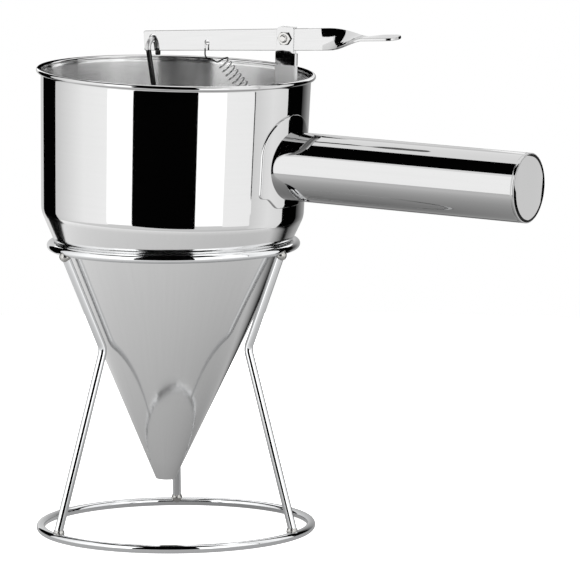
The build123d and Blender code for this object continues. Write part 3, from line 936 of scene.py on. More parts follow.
    def saddle_outline(self) -> Array:
        """Finds the saddle's edge: an arch above, straight sides, and a tab that narrows to a foot below.

        Returns:
            Distances across and up from the handle's axis, a pair for each column.
        """
        half = self.saddle_width / 2
        ways = ring(1.0, 0.0, self.columns)[:, :2]
        right = [(self.saddle_foot / 2, -self.saddle_below), (self.saddle_tab / 2, -self.saddle_straight),
                 (half, -self.saddle_straight), (half, self.saddle_arch_up)]
        corners = np.array([(-x, y) for x, y in right[::-1]] + right)
        squeeze = half / self.saddle_arch_rise
        lift, upward = squeeze * self.saddle_arch_up, squeeze * ways[:, 1]
        spread = ways[:, 0] ** 2 + upward**2
        reach = (upward * lift + np.sqrt((upward * lift) ** 2 + spread * (half**2 - lift**2))) / spread
        for a, b in zip(corners, corners[1:]):
            edge = b - a
            cross = ways[:, 0] * edge[1] - ways[:, 1] * edge[0]
            with np.errstate(divide="ignore", invalid="ignore"):
                far = (a[0] * edge[1] - a[1] * edge[0]) / cross
                spot = (a[0] * ways[:, 1] - a[1] * ways[:, 0]) / cross
            hit = (far > 0) & (spot > -FINEST) & (spot < 1 + FINEST)
            reach = np.where(hit, np.maximum(reach, far), reach)
        outline = reach[:, None] * ways
        for _ in range(self.saddle_rounds):
            outline = (np.roll(outline, 1, axis=0) + 2 * outline + np.roll(outline, -1, axis=0)) / 4
        return outline

    def saddle(self) -> None:
        """Makes the plate wrapped on the bowl's wall, with rolled-over edges."""
        outline = self.saddle_outline()
        reach = np.linalg.norm(outline, axis=1)[:, None]
        soft, sheet = self.saddle_edge, self.saddle_sheet
        steps = [(share, 0.0, sheet) for share in self.saddle_face]
        steps += [(1.0, soft * (1 - math.sin(t)), sheet - soft * (1 - math.cos(t)))
                  for t in np.linspace(0, QUARTER, self.saddle_edge_rows)]
        steps += [(share, 0.0, 0.0) for share in self.saddle_back]
        rows = []
        for share, inset, lift in steps:
            spots = outline * (share - inset / reach)
            height = self.axis_z + spots[:, 1]
            out = np.sqrt(self.funnel.outside(height, lift) ** 2 - spots[:, 0] ** 2)
            rows.append(np.stack([out, spots[:, 0], height], axis=1))
        piece = formed("handle_saddle_plate", self.place.funnel(), rows, [MIRROR_SHEET])
        settle(piece, Body.FUNNEL, Slot.SHEET, "handle_saddle")

    def build(self) -> None:
        """Makes the saddle, the tube and the disc."""
        self.saddle()
        self.tube()
        self.end_disc()


@dataclass
class LeverGear:
    """Folded bracket with its welds, the pivot bolt and nut, and the twisted lever.

    The photograph's strip shows no mirror image of what is bolted to it, so the bracket, the bolt and the nut
    are not mirrored.
    """

    place: Placement
    funnel: FunnelBody
    # Lever: its distances run along the strip from the pivot.
    rise_deg: float = 4.4
    sheet: float = 1.6
    inner_width: float = 11.3
    outer_width: float = 12.6
    below_pivot: float = 0.9
    inner_reach: float = 89.5
    twist_start: float = 21.5
    twist_end: float = 47.5
    twist_ease: float = 0.45
    pad_end: float = 69.0
    pad_corner: float = 5.0
    pad_tilt_deg: float = 5.0
    pad_tilt_run: tuple[float, float] = (-3.0, 9.0)
    inner_corner: float = 0.9
    edge_round: float = 0.3
    edge_columns: int = 6
    flat_columns: int = 14
    inner_rows: int = 6
    arm_first: float = 3.0
    arm_rows: int = 24
    twist_rows: int = 44
    pad_rows: int = 8
    pad_corner_rows: int = 9
    # Bolt and nut, along the pivot.
    pivot_u: float = 68.7
    pivot_z: float = 289.2
    pivot_r: float = 2.0
    pivot_play: float = 0.05
    nut_flats: float = 7.0
    nut_height: float = 3.2
    nut_sink: float = 0.35
    head_height: float = 2.8
    chamfer_first: float = 0.97
    chamfer_slope: float = math.sqrt(3)
    chamfer_share: float = 0.15
    chamfer_rows: int = 5
    bolt_past_nut: float = 1.5
    bolt_end: float = 0.35
    bolt_end_cut: float = 0.4
    thread_from: float = 0.4
    thread_first: float = 0.05
    thread_pitch: float = 0.7
    thread_depth: float = 0.16
    thread_rows: int = 60
    fastener_columns: int = 96
    fastener_sharp_deg: float = 28.0
    # Bracket: u is the distance out from the funnel's axis.
    bracket_sheet: float = 0.8
    bracket_depth: float = 12.4
    bracket_out_u: float = 75.45
    bracket_top_z: float = 295.6
    bracket_low_z: float = 232.0
    bracket_corner: float = 2.5
    bracket_play: float = 0.25
    fold_r: float = 1.75
    splay_deg: float = 7.5
    splay_z: tuple[float, float, float] = (250.0, 280.6, 284.8)
    drawn_in: float = 0.2
    bracket_edge: float = 0.12
    bracket_edge_steps: int = 4
    bracket_edge_deg: float = 50.0
    painted_light_top_z: float = 274.6
    web_top_z: float = 280.8
    cheek_columns: int = 12
    fold_columns: int = 6
    corner_rows: int = 7
    cheek_rows: int = 40
    ear_rows: int = 9
    # Weld beads.
    bead_r: float = 1.0
    bead_top_z: float = 256.0
    bead_blunt: int = 8
    bead_thinnest: float = 0.02
    bead_low: float = 0.86
    bead_ripple: float = 0.1
    bead_ripple_gap: float = 1.6
    bead_in: float = 0.3
    bead_off_cheek: float = 0.1
    bead_rows: int = 60
    bead_columns: int = 14
    # Holes: distance out, height and radius.
    rod_hole: tuple[float, float, float] = (-14.8, 283.4, 2.4)
    spring_hole: tuple[float, float, float] = (19.3, 283.4, 1.5)
    anchor_hole: tuple[float, float, float] = (65.2, 238.2, 0.95)
    hole_length: float = 30.0

    @property
    def cheek_in(self) -> float:
        """Distance of a cheek's inner face from the lever's plane."""
        return self.sheet / 2 + self.bracket_play

    @property
    def cheek_out(self) -> float:
        """Distance of a cheek's outer face from the lever's plane."""
        return self.cheek_in + self.bracket_sheet

    @property
    def flat_u(self) -> float:
        """Distance from the funnel's axis at which the flat cheeks end and the folds begin."""
        return self.bracket_out_u - self.fold_r

    @staticmethod
    def middle(hole: tuple[float, float, float]) -> Array:
        """Place of a hole in the lever's plane."""
        return np.array([hole[0], 0, hole[1]])

    def across(self, u: float, z: float, near: float = 0.0) -> Matrix:
        """Place of what is drawn across the lever's plane, its foot at a distance from the plane."""
        return self.place.lever() @ Matrix.Translation((u, near, z)) @ Matrix.Rotation(QUARTER, 4, "X")

    def bore(self, piece: bpy.types.Object, *holes: tuple[float, float, float]) -> None:
        """Bores the pivot's hole and others across the lever's plane.

        Args:
            piece: Object to bore.
            holes: Distance out, height and radius of each other hole.
        """
        pivot = (self.pivot_u, self.pivot_z, self.pivot_r + self.pivot_play)
        drill(piece, [(self.across(u, z), radius, self.hole_length) for u, z, radius in (*holes, pivot)])

    def strip_outline(self, half_thick: float, half_wide: float) -> Array:
        """Draws the rounded outline of the strip's cross-section.

        Args:
            half_thick: Half the strip's thickness.
            half_wide: Half its width.

        Returns:
            Points as distances through the thickness and over the width.
        """
        soft = self.edge_round
        outline = []
        for quarter, (side, up) in enumerate(((1, 1), (-1, 1), (-1, -1), (1, -1))):
            for t in np.linspace(0, QUARTER, self.edge_columns) + quarter * QUARTER:
                outline.append((side * (half_thick - soft) + soft * math.cos(t),
                                up * (half_wide - soft) + soft * math.sin(t)))
            if quarter % 2 == 1:
                outline += [(side * half_thick, up * (half_wide - soft) * share)
                            for share in np.linspace(1, -1, self.flat_columns)[1:-1]]
        return np.array(outline)

    def half_width(self, along: float) -> float:
        """Finds half the strip's width, with its rounded corners.

        Args:
            along: Distance from the pivot.

        Returns:
            Half the width there.
        """
        share = np.clip((along + self.inner_reach) / (self.inner_reach + self.twist_start), 0, 1)
        half = (self.inner_width + share * (self.outer_width - self.inner_width)) / 2
        for gap, corner in ((self.pad_end - along, self.pad_corner),
                            (along + self.inner_reach, self.inner_corner)):
            if gap < corner:
                half += math.sqrt(max(corner**2 - (corner - gap) ** 2, 0)) - corner
        return half

    def lever(self) -> None:
        """Makes the strip with its twist, thumb pad and holes."""
        pad_start = self.pad_end - self.pad_corner
        stops = np.concatenate([
            self.inner_corner * (1 - np.cos(np.linspace(0, QUARTER, self.inner_rows))) - self.inner_reach,
            np.linspace(self.arm_first - self.inner_reach, self.twist_start, self.arm_rows),
            np.linspace(self.twist_start, self.twist_end, self.twist_rows)[1:],
            np.linspace(self.twist_end, pad_start, self.pad_rows)[1:-1],
            pad_start + self.pad_corner * np.sin(np.linspace(0, QUARTER, self.pad_corner_rows))])
        tilt = math.radians(self.pad_tilt_deg)
        lift = math.sin(tilt) * self.outer_width / 2
        tilt_run = [self.twist_end + step for step in self.pad_tilt_run]
        rows = []
        for along in stops:
            share = np.clip((along - self.twist_start) / (self.twist_end - self.twist_start), 0, 1)
            eased = (1 - self.twist_ease) * share + self.twist_ease * share * share * (3 - 2 * share)
            back = np.interp(along, tilt_run, (0.0, 1.0))
            turn = eased * QUARTER - back * tilt
            inset = self.edge_round if along in (stops[0], stops[-1]) else 0.0
            through, over = self.strip_outline(self.sheet / 2 - inset, self.half_width(along) - inset).T
            y = through * math.cos(turn) + over * math.sin(turn)
            z = over * math.cos(turn) - through * math.sin(turn) - self.below_pivot + back * lift
            rows.append(np.stack([np.full(len(y), along), y, z], axis=1))
        rest = Matrix.Translation((self.pivot_u, 0, self.pivot_z))
        rest = rest @ Matrix.Rotation(-math.radians(self.rise_deg), 4, "Y")
        piece = formed("lever_strip", self.place.lever() @ rest, rows, [BRIGHT_STRIP])
        self.bore(piece, self.rod_hole, self.spring_hole)
        settle(flatten(piece), Body.LEVER, Slot.STRIP, "lever")

    def bracket_plan(self) -> list[tuple[float, float]]:
        """Draws the bracket's sheet from above, round its folds from one cheek's free edge to the other's.

        Returns:
            Points as distances out from the funnel's axis and from the lever's plane.
        """
        mid_y = (self.cheek_in + self.cheek_out) / 2
        fold, inner_u = self.fold_r - self.bracket_sheet / 2, self.bracket_out_u - self.bracket_depth
        plan = [(u, -mid_y) for u in np.linspace(inner_u, self.flat_u, self.cheek_columns)]
        plan += [(self.flat_u + fold * math.sin(t), fold * (1 - math.cos(t)) - mid_y)
                 for t in np.linspace(0, QUARTER, self.fold_columns)[1:]]
        return plan + [(u, -y) for u, y in plan[::-1]]

    def bracket_row(self, plan: Sequence[tuple[float, float]], z: float) -> list[tuple[float, float, float]]:
        """Bends the bracket's plan to what it is at a height.

        The cheeks turn out below the lever, are drawn in by the bolt and have rounded corners.

        Args:
            plan: Points of the sheet from above.
            z: Height of the row.

        Returns:
            The row's points.
        """
        corner = self.bracket_corner
        gap = min(z - self.bracket_low_z, self.bracket_top_z - z, corner)
        edge_u = plan[0][0] + corner - math.sqrt(max(corner**2 - (corner - gap) ** 2, 0))
        splay = np.interp(z, self.splay_z, (0.0, 1.0, 0.0)) * math.tan(math.radians(self.splay_deg))
        drawn = self.drawn_in * np.interp(z, self.splay_z[1:], (0.0, 1.0))
        row = []
        for u, y in plan:
            u = max(u, edge_u)
            row.append((u, y + math.copysign(max(self.flat_u - u, 0.0) * splay - drawn, y), z))
        return row

    def bracket_sheet_mesh(self) -> bpy.types.Mesh:
        """Makes the middle of the bracket's sheet, its web cut back above.

        Returns:
            The mesh in millimetres, in the lever's plane.
        """
        plan = self.bracket_plan()
        corner, low_z, top_z = self.bracket_corner, self.bracket_low_z, self.bracket_top_z
        soft = corner * (1 - np.cos(np.linspace(0, QUARTER, self.corner_rows)))
        heights = np.concatenate([low_z + soft,
                                  np.linspace(low_z + 2 * corner, self.web_top_z, self.cheek_rows),
                                  np.linspace(self.web_top_z, top_z - corner, self.ear_rows)[1:],
                                  (top_z - soft[::-1])[1:]])
        sheet = bmesh.new()
        rows = [[sheet.verts.new(point) for point in self.bracket_row(plan, z)] for z in heights]
        for low, high, z in zip(rows, rows[1:], heights[1:]):
            for k in range(len(plan) - 1):
                corners = [low[k], low[k + 1], high[k + 1], high[k]]
                in_web = max(plan[k][0], plan[k + 1][0]) > self.flat_u + TINY
                cut_away = in_web and z > self.web_top_z + TINY
                apart = len({spot.co.to_tuple(SAME_DECIMALS) for spot in corners}) == len(corners)
                if apart and not cut_away:
                    # Below this height the bracket is matt and painted pale as light.
                    finish = BracketFace.PAINTED_LIGHT if z < self.painted_light_top_z else BracketFace.BRIGHT
                    sheet.faces.new(corners).material_index = finish
        bmesh.ops.remove_doubles(sheet, verts=sheet.verts, dist=MERGE_DISTANCE)
        loose = [spot for spot in sheet.verts if not spot.link_faces]
        bmesh.ops.delete(sheet, geom=loose, context="VERTS")
        bmesh.ops.recalc_face_normals(sheet, faces=sheet.faces)
        mesh = bpy.data.meshes.new("lever_bracket_fold")
        sheet.to_mesh(mesh)
        sheet.free()
        return mesh

    def bracket(self) -> None:
        """Makes the channel folded from sheet, with round folds, soft edges and its holes."""
        mesh = self.bracket_sheet_mesh()
        layer = mesh.uv_layers.new(name=SURFACE_MAP)
        for loop in mesh.loops:
            spot = mesh.vertices[loop.vertex_index].co
            layer.uv[loop.index].vector = (spot.x + spot.y, spot.z)
        piece = placed(mesh, self.place.lever(), [BRIGHT_STRIP, SHEARED_EDGE, PAINTED_LIGHT_STRIP])
        thick = piece.modifiers.new("sheet", "SOLIDIFY")
        thick.thickness, thick.offset, thick.use_even_offset = self.bracket_sheet * MM, 0.0, True
        thick.material_offset_rim = BracketFace.CUT_EDGE
        edges = piece.modifiers.new("edges", "BEVEL")
        edges.width, edges.segments = self.bracket_edge * MM, self.bracket_edge_steps
        edges.limit_method, edges.angle_limit = "ANGLE", math.radians(self.bracket_edge_deg)
        edges.material = BracketFace.CUT_EDGE
        self.bore(piece, self.anchor_hole)
        settle(flatten(piece), Body.FUNNEL, Slot.STRIP, "lever_bracket", mirrored=False)

    def welds(self) -> None:
        """Makes the rippled beads in the corners between the bracket and the bowl's wall."""
        skin = Skin()
        for side in (-1, 1):
            rows = []
            for share in np.linspace(0, 1, self.bead_rows):
                z = self.bracket_low_z + share * (self.bead_top_z - self.bracket_low_z)
                taper = math.sqrt(max(1 - (2 * share - 1) ** self.bead_blunt, self.bead_thinnest))
                ripple = self.bead_low + self.bead_ripple * math.sin(TURN * z / self.bead_ripple_gap) ** 2
                wall_r = self.funnel.outside(z, -2 * self.funnel.half_wall)
                middle = np.array([math.sqrt(wall_r**2 - self.cheek_out**2) - self.bead_in,
                                   side * (self.cheek_out + self.bead_off_cheek), z])
                rows.append(middle + ring(self.bead_r * taper * ripple, 0.0, self.bead_columns))
            skin.bar(np.array(rows))
        piece = skin.made("bracket_weld_beads", self.place.lever(), [WELD], SOFT_SHARP_DEG)
        settle(piece, Body.FUNNEL, Slot.WELD, "bracket_welds")

    def hexagon(self, height: float) -> list[Array]:
        """Draws a hexagon prism whose corners are chamfered at both faces.

        Args:
            height: Height of the prism.

        Returns:
            Rows of points from its foot up.
        """
        turns = np.arange(self.fastener_columns) * TURN / self.fastener_columns
        flat = self.nut_flats / 2 / np.cos((turns % (TURN / 6)) - TURN / 12)
        low = np.linspace(0, self.chamfer_share, self.chamfer_rows)
        rows = []
        for z in height * np.concatenate([low, np.linspace(1 - self.chamfer_share, 1, self.chamfer_rows)]):
            cone = self.nut_flats / 2 * self.chamfer_first + min(z, height - z) * self.chamfer_slope
            rows.append(ring(np.minimum(flat, cone), z, self.fastener_columns))
        return rows

    def fasten(self, name: str, rows: Sequence[Array], near: float, node: str, closed: bool) -> None:
        """Makes the nut or the bolt on the pivot.

        Args:
            name: Name of the piece.
            rows: Rows of points along the pivot.
            near: Distance of the piece's foot from the lever's plane.
            node: Solid that it replaces.
            closed: Whether the last row joins the first.
        """
        piece = formed(name, self.across(self.pivot_u, self.pivot_z, near), rows, [PLATED_FASTENER],
                       self.fastener_sharp_deg, closed=closed)
        settle(flatten(piece), Body.FUNNEL, Slot.FASTENER, node, mirrored=False)

    def nut(self) -> None:
        """Makes the hexagon nut with chamfered corners and a bore."""
        height, sink, bore_r = self.nut_height, self.nut_sink, self.pivot_r + self.pivot_play / 2
        bore = [(bore_r + sink, height), (bore_r, height - sink), (bore_r, sink), (bore_r + sink, 0.0)]
        rows = [*self.hexagon(height), *turned(bore, self.fastener_columns)]
        self.fasten("pivot_hex_nut", rows, self.drawn_in - self.cheek_out, "pivot_nut", closed=True)

    def bolt(self) -> None:
        """Makes the bolt with a hexagon head on the far cheek and its thread past the nut."""
        rows = [row - np.array([0, 0, self.head_height]) for row in self.hexagon(self.head_height)]
        turns = np.arange(self.fastener_columns) / self.fastener_columns
        plain = 2 * self.cheek_out + self.nut_height * self.thread_from
        length = 2 * self.cheek_out + self.nut_height + self.bolt_past_nut
        thread = np.linspace(plain + self.thread_first, length - self.bolt_end, self.thread_rows)
        for z in [0.0, plain, *thread, length]:
            phase = (z / self.thread_pitch - turns) % 1.0
            groove = self.thread_depth * np.abs(2 * phase - 1) if z > plain else 0.0
            reach = self.pivot_r - groove - (self.bolt_end_cut if z == length else 0.0)
            rows.append(ring(reach, z, self.fastener_columns))
        self.fasten("pivot_hex_bolt", rows, self.cheek_out - self.drawn_in, "pivot_bolt", closed=False)

    def build(self) -> None:
        """Makes the bracket, the bolt, the nut, the bracket's welds and the lever."""
        self.bracket()
        self.bolt()
        self.nut()
        self.welds()
        self.lever()


@dataclass
class Piston:
    """Wire rod hooked through the lever, with the stopper that closes the outlet."""

    place: Placement
    funnel: FunnelBody
    gear: LeverGear
    wire_dia: float = 3.0
    wire_step: float = 1.0
    wire_sides: int = 40
    wire_end: float = 0.4
    hook_r: float = 6.3
    hook_tail: float = 3.5
    bend_z: float = 183.0
    bend_length: float = 6.0
    gap: float = 0.3
    up: float = 1.2
    seat: float = 8.0
    rim: float = 1.5
    neck: float = 4.5
    neck_r: float = 2.6
    neck_rows: int = 14
    low_edge: tuple[tuple[float, float], ...] = ((-2.0, 0.0), (-0.4, 0.0), (-0.1, 0.1), (0.1, 0.5))
    seat_edge: tuple[tuple[float, float], ...] = ((-0.05, -0.2), (0.0, 0.1))
    rod_fit: float = 0.02
    columns: int = 120

    def rod(self) -> None:
        """Makes the rod with its hook over the lever, with a painted highlight on the hook's near side."""
        up, near = np.array([0.0, 0, 1]), np.array([0.0, -1, 0])
        hook = self.gear.middle(self.gear.rod_hole)
        far_side = hook + np.array([0, self.hook_r, -self.hook_r])
        near_side = hook + np.array([0, -self.hook_r, -self.hook_r])
        bend = np.array([0, 0, self.bend_z])
        lean = (bend - near_side) / np.linalg.norm(bend - near_side)
        foot = np.array([0, 0, self.funnel.outlet_z + self.up + self.seat / 2])
        stations = [(far_side - up * self.hook_tail, up), (far_side, up), (hook, near), (near_side, lean),
                    (bend - lean * self.bend_length, lean), (bend - up * self.bend_length, -up), (foot, -up)]
        path = wire_path(stations, self.wire_step)
        # The hook's near side, above where it bends down, is painted pale as a highlight.
        highlight_mask = (path[:, 1] < -self.wire_dia / 2) & (path[:, 2] > near_side[2])
        skin = wire(path, self.wire_dia / 2, self.wire_sides, self.wire_end, highlight_mask)
        piece = skin.made("piston_rod_wire", self.place.lever(), [DARK_WIRE_AND_PAINTED_SHADE, PAINTED_HIGHLIGHT_WIRE])
        settle(piece, Body.ROD, Slot.WIRE, "piston_rod")

    def stopper(self) -> None:
        """Makes the turned conical plug on the rod's end."""
        low = self.funnel.outlet_z + self.up
        seat = low + self.seat
        rim = seat + self.rim
        inset = (self.funnel.sheet / 2 + self.gap) / math.cos(self.funnel.cone_angle)
        low_r, seat_r = (self.funnel.cone_radius(z) - inset for z in (low, seat))
        top = [(self.neck_r + (seat_r - self.neck_r) * math.cos(t), rim + self.neck * math.sin(t))
               for t in np.linspace(0, QUARTER, self.neck_rows)]
        profile = [*((low_r + out, low + rise) for out, rise in self.low_edge),
                   *((seat_r + out, seat + rise) for out, rise in self.seat_edge),
                   *top, (self.wire_dia / 2 + self.rod_fit, rim + self.neck)]
        piece = formed("outlet_stopper", self.place.lever(), turned(profile, self.columns), [ACETAL])
        settle(piece, Body.ROD, Slot.PLASTIC, "valve_stopper")

    def build(self) -> None:
        """Makes the rod and its stopper."""
        self.rod()
        self.stopper()


@dataclass
class ReturnSpring:
    """Tension spring from the lever down to the bracket's foot, which stretches as the lever is pressed."""

    place: Placement
    gear: LeverGear
    wire_dia: float = 0.85
    wire_step: float = 0.9
    wire_sides: int = 14
    wire_end: float = 0.1
    mean_r: float = 3.6
    pitch: float = 2.93
    turns: int = 14
    start: tuple[float, float] = (28.7, 273.4)
    slope_deg: float = 45.6
    neck_r: float = 1.8
    neck_bottom: tuple[float, float] = (23.3, 273.6)
    neck_low_z: float = 277.2
    end_hook_r: float = 2.4
    end_tail: float = 2.2
    painted_shade_stations: tuple[int, int] = (4, 8)

    def stations(self) -> list[tuple[Array, Array]]:
        """Finds the places that the wire goes through, from the lever's hole through the coil to its anchor.

        Returns:
            Places, each with the wire's heading there.
        """
        up, far, out = np.array([0.0, 0, 1]), np.array([0.0, 1, 0]), np.array([1.0, 0, 0])
        slope = math.radians(self.slope_deg)
        axis = np.array([math.cos(slope), 0, -math.sin(slope)])
        side = np.array([math.sin(slope), 0, math.cos(slope)])
        eye, anchor = (self.gear.middle(hole) for hole in (self.gear.spring_hole, self.gear.anchor_hole))
        face = (self.gear.sheet + self.wire_dia) / 2
        behind = eye + far * (face + self.neck_r) - up * self.neck_r
        before = eye - far * (face + self.neck_r) - up * self.neck_r
        low = np.array([eye[0], before[1], self.neck_low_z])
        bottom = np.array([self.neck_bottom[0], before[1], self.neck_bottom[1]])
        found = [(behind - up * self.neck_r, up), (behind, up), (eye + far * face, -far),
                 (eye - far * face, -far), (before, -up), (low, -up), (bottom, out)]
        first = np.array([self.start[0], 0, self.start[1]])
        for quarter in range(4 * (self.turns + 1)):
            angle = (quarter - 1) * QUARTER
            spoke = side * math.cos(angle) + far * math.sin(angle)
            run = far * math.cos(angle) - side * math.sin(angle)
            heading = run * self.mean_r + axis * self.pitch / TURN
            found.append((first + axis * (self.pitch * quarter / 4) + spoke * self.mean_r,
                          heading / np.linalg.norm(heading)))
        cheek = self.gear.cheek_out + self.wire_dia / 2
        enter, leave = anchor - far * cheek, anchor + far * cheek
        under = enter - far * self.end_hook_r - axis * self.end_hook_r
        over = leave + far * self.end_hook_r - axis * self.end_hook_r
        return [*found, (under, axis), (enter, far), (leave, far), (over, -axis),
                (over - axis * self.end_tail, -axis)]

    def build(self) -> None:
        """Makes the spring between the bowl's bracket and the lever."""
        stations = self.stations()
        path = wire_path(stations, self.wire_step)
        point = np.arange(len(path))
        # The wire of the spring's neck, between these stations, is painted dark as shade.
        first, last = (len(wire_path(stations[:k + 1], self.wire_step)) for k in self.painted_shade_stations)
        dark = (point > first) & (point < last)
        skin = wire(path, self.wire_dia / 2, self.wire_sides, self.wire_end, dark)
        place = self.place.lever()
        piece = skin.made("return_spring_coil", place, [SPRING_STEEL, DARK_WIRE_AND_PAINTED_SHADE])
        start, end = (MM * (place @ Vector(self.gear.middle(hole)))
                      for hole in (self.gear.anchor_hole, self.gear.spring_hole))
        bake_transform(piece)
        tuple(start)
        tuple(end)
        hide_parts("return_spring")
        log.info("%s: %d faces, between funnel and lever", piece.name, len(piece.data.polygons))


@dataclass
class WireStand:
    """Two wire rings on three bent wire legs, welded and plated.

    Each leg has its name, its angle round the stand in degrees and the radius of its knee.
    """

    funnel: FunnelBody
    wire_dia: float = 5.0
    wire_step: float = 1.5
    wire_end: float = 0.5
    base_r: float = 78.0
    base_flat: float = 0.15
    top_z: float = 165.9
    seat_gap: float = 0.26
    legs: tuple[tuple[str, float, float], ...] = (
        ("handle", 0.0, 48.6), ("rear", 120.0, 47.6), ("left", 240.0, 46.6))
    knee_z: float = 108.4
    knee_bend: float = 9.0
    leg_top_drop: float = 2.7
    blob_r: float = 3.3
    blob_share: float = 0.97
    blob_lump: float = 0.07
    blob_lump_scale: float = 1.7
    blob_pole: float = 0.06
    blob_rows: int = 22
    blob_columns: int = 36
    foot_in: float = 1.25
    foot_up: float = 2.5
    ring_out: float = 0.6
    ring_down: float = 2.5
    columns: int = 320
    sides: int = 40

    @property
    def base_z(self) -> float:
        """Height of the base ring's middle line."""
        return self.wire_dia / 2 - self.base_flat

    @property
    def top_r(self) -> float:
        """Radius of the top ring's middle line."""
        clear = self.funnel.sheet / 2 + self.wire_dia / 2 + self.seat_gap
        return self.funnel.cone_radius(self.top_z) + clear / math.cos(self.funnel.cone_angle)

    def hoop(self, name: str, radius: float, height: float) -> None:
        """Makes a wire ring, ground flat where it stands on the table.

        Args:
            name: Which ring it is.
            radius: Radius of its middle line.
            height: Height of its middle line.
        """
        section = ring(self.wire_dia / 2, 0.0, self.sides)[:, :2] + np.array([radius, height])
        section[:, 1] = np.maximum(section[:, 1], 0.0)
        piece = formed(f"{name}_ring_wire", Matrix.Identity(4), turned(section, self.columns), [PLATED_WIRE],
                       closed=True)
        settle(piece, Body.STAND, Slot.PLATED_WIRE, f"stand_{name}_ring")

    def leg(self, name: str, knee_r: float, turn: Matrix) -> None:
        """Makes a leg between the two rings, bent at its knee.

        Args:
            name: Which leg it is.
            knee_r: Radius of its knee from the stand's axis.
            turn: Turn about the stand's axis.
        """
        top = np.array([self.top_r, 0, self.top_z - self.leg_top_drop])
        knee, foot = np.array([knee_r, 0, self.knee_z]), np.array([self.base_r, 0, self.base_z])
        down, out = (way / np.linalg.norm(way) for way in (knee - top, foot - knee))
        back = self.knee_bend * math.tan(math.acos(down.dot(out)) / 2)
        stations = [(top, down), (knee - down * back, down), (knee + out * back, out), (foot, out)]
        path = wire_path(stations, self.wire_step)
        # The last step lies inside the base ring and is left off.
        skin = wire(path[:-1], self.wire_dia / 2, self.sides, self.wire_end)
        piece = skin.made(f"leg_{name}_wire", turn, [PLATED_WIRE])
        settle(piece, Body.STAND, Slot.PLATED_WIRE, f"stand_leg_{name}")

    def blob(self, skin: Skin, centre: Vector, turn: Matrix) -> None:
        """Adds a lumpy weld blob.

        Args:
            skin: Faces that the blob joins.
            centre: Middle of the blob before it is turned.
            turn: Turn about the stand's axis.
        """
        rows = []
        for tilt in np.linspace(self.blob_pole, math.pi - self.blob_pole, self.blob_rows):
            row = []
            for spot in ring(math.sin(tilt), math.cos(tilt), self.blob_columns):
                way = Vector(spot)
                lump = 1 + self.blob_lump * noise.noise(way * self.blob_lump_scale + centre)
                row.append(tuple(turn @ (centre + way * self.blob_r * self.blob_share * lump)))
            rows.append(row)
        skin.bar(np.array(rows))

    def build(self) -> None:
        """Makes the rings, the legs and the welds."""
        self.hoop("base", self.base_r, self.base_z)
        self.hoop("top", self.top_r, self.top_z)
        feet, tops = Skin(), Skin()
        for name, angle, knee_r in self.legs:
            turn = Matrix.Rotation(math.radians(angle), 4, "Z")
            self.leg(name, knee_r, turn)
            self.blob(feet, Vector((self.base_r - self.foot_in, 0, self.base_z + self.foot_up)), turn)
            self.blob(tops, Vector((self.top_r + self.ring_out, 0, self.top_z - self.ring_down)), turn)
        for name, skin in (("foot", feet), ("ring", tops)):
            piece = skin.made(f"{name}_weld_blobs", Matrix.Identity(4), [WELD], SOFT_SHARP_DEG)
            settle(piece, Body.STAND, Slot.WELD, f"{name}_welds")


@dataclass
class PhotoCamera:
    """Camera that stands where the photograph was taken from.

    Its distance and the height that it aims at are metres, and its yaw and pitch away from there are radians.
    """

    azimuth_deg: float = 30.5
    elevation_deg: float = 7.4914
    roll_deg: float = -0.5061
    distance: float = 3.0
    aim_z: float = 0.15
    yaw: float = 0.0222
    pitch: float = -0.0038
    focal_px: float = 5226.55
    sensor_mm: float = 36.0

    @staticmethod
    def swung(one: Vector, other: Vector, angle: float) -> tuple[Vector, Vector]:
        """Turns two square directions in their plane, the first towards the second."""
        cosine, sine = math.cos(angle), math.sin(angle)
        return cosine * one + sine * other, cosine * other - sine * one

    def build(self) -> None:
        """Makes the camera and gives it to the scene."""
        turn, rise = math.radians(self.azimuth_deg), math.radians(self.elevation_deg)
        back = Vector((math.sin(turn) * math.cos(rise), -math.cos(turn) * math.cos(rise), math.sin(rise)))
        right = Vector((math.cos(turn), math.sin(turn), 0))
        upward = right.cross(-back)
        ahead, right = self.swung(-back, right, self.yaw)
        ahead, upward = self.swung(ahead, upward, self.pitch)
        right, upward = self.swung(right, upward, math.radians(self.roll_deg))
        lens = bpy.data.cameras.new("photo_camera")
        lens.sensor_width = self.sensor_mm
        lens.lens = self.focal_px / PHOTO_SIDE_PX * self.sensor_mm
        camera = bpy.data.objects.new("photo_camera", lens)
        bpy.context.scene.collection.objects.link(camera)
        matrix = Matrix((right, upward, -ahead)).transposed().to_4x4()
        matrix.translation = Vector((0, 0, self.aim_z)) + self.distance * back
        camera.matrix_world = matrix
        bpy.context.scene.camera = camera


@dataclass(frozen=True)
class StageFinish(Finish):
    """Matt card of the studio, or a table top lit from below."""

    name: str
    colour: str
    glow: float = 0.0
    roughness: float = 0.9

    def draw(self, tree: bpy.types.NodeTree) -> bpy.types.NodeSocket:
        """Draws a matt surface that may glow evenly.

        Args:
            tree: Tree that takes the nodes.

        Returns:
            The shader's output.
        """
        settings = {"Base Color": linear(self.colour), "Roughness": self.roughness, "Specular IOR Level": 0.0,
                    "Emission Color": linear("#ffffff"), "Emission Strength": self.glow}
        return add_node(tree, "BsdfPrincipled", settings)


@dataclass(frozen=True)
class ClothFinish(Finish):
    """White cotton cloth lit from behind, whose glow changes evenly over its width in millimetres."""

    name: str
    width: float
    glow_left: float
    glow_right: float

    def draw(self, tree: bpy.types.NodeTree) -> bpy.types.NodeSocket:
        """Draws the glow across the cloth.

        Args:
            tree: Tree that takes the nodes.

        Returns:
            The shader's output.
        """
        spot = add_node(tree, "UVMap", uv_map=SURFACE_MAP)
        across = add_node(tree, "SeparateXYZ", links={"Vector": spot}, out="X")
        span = {"From Min": 0.0, "From Max": self.width, "To Min": self.glow_left, "To Max": self.glow_right}
        glow = add_node(tree, "MapRange", span, {"Value": across})
        return add_node(tree, "Emission", links={"Strength": glow})


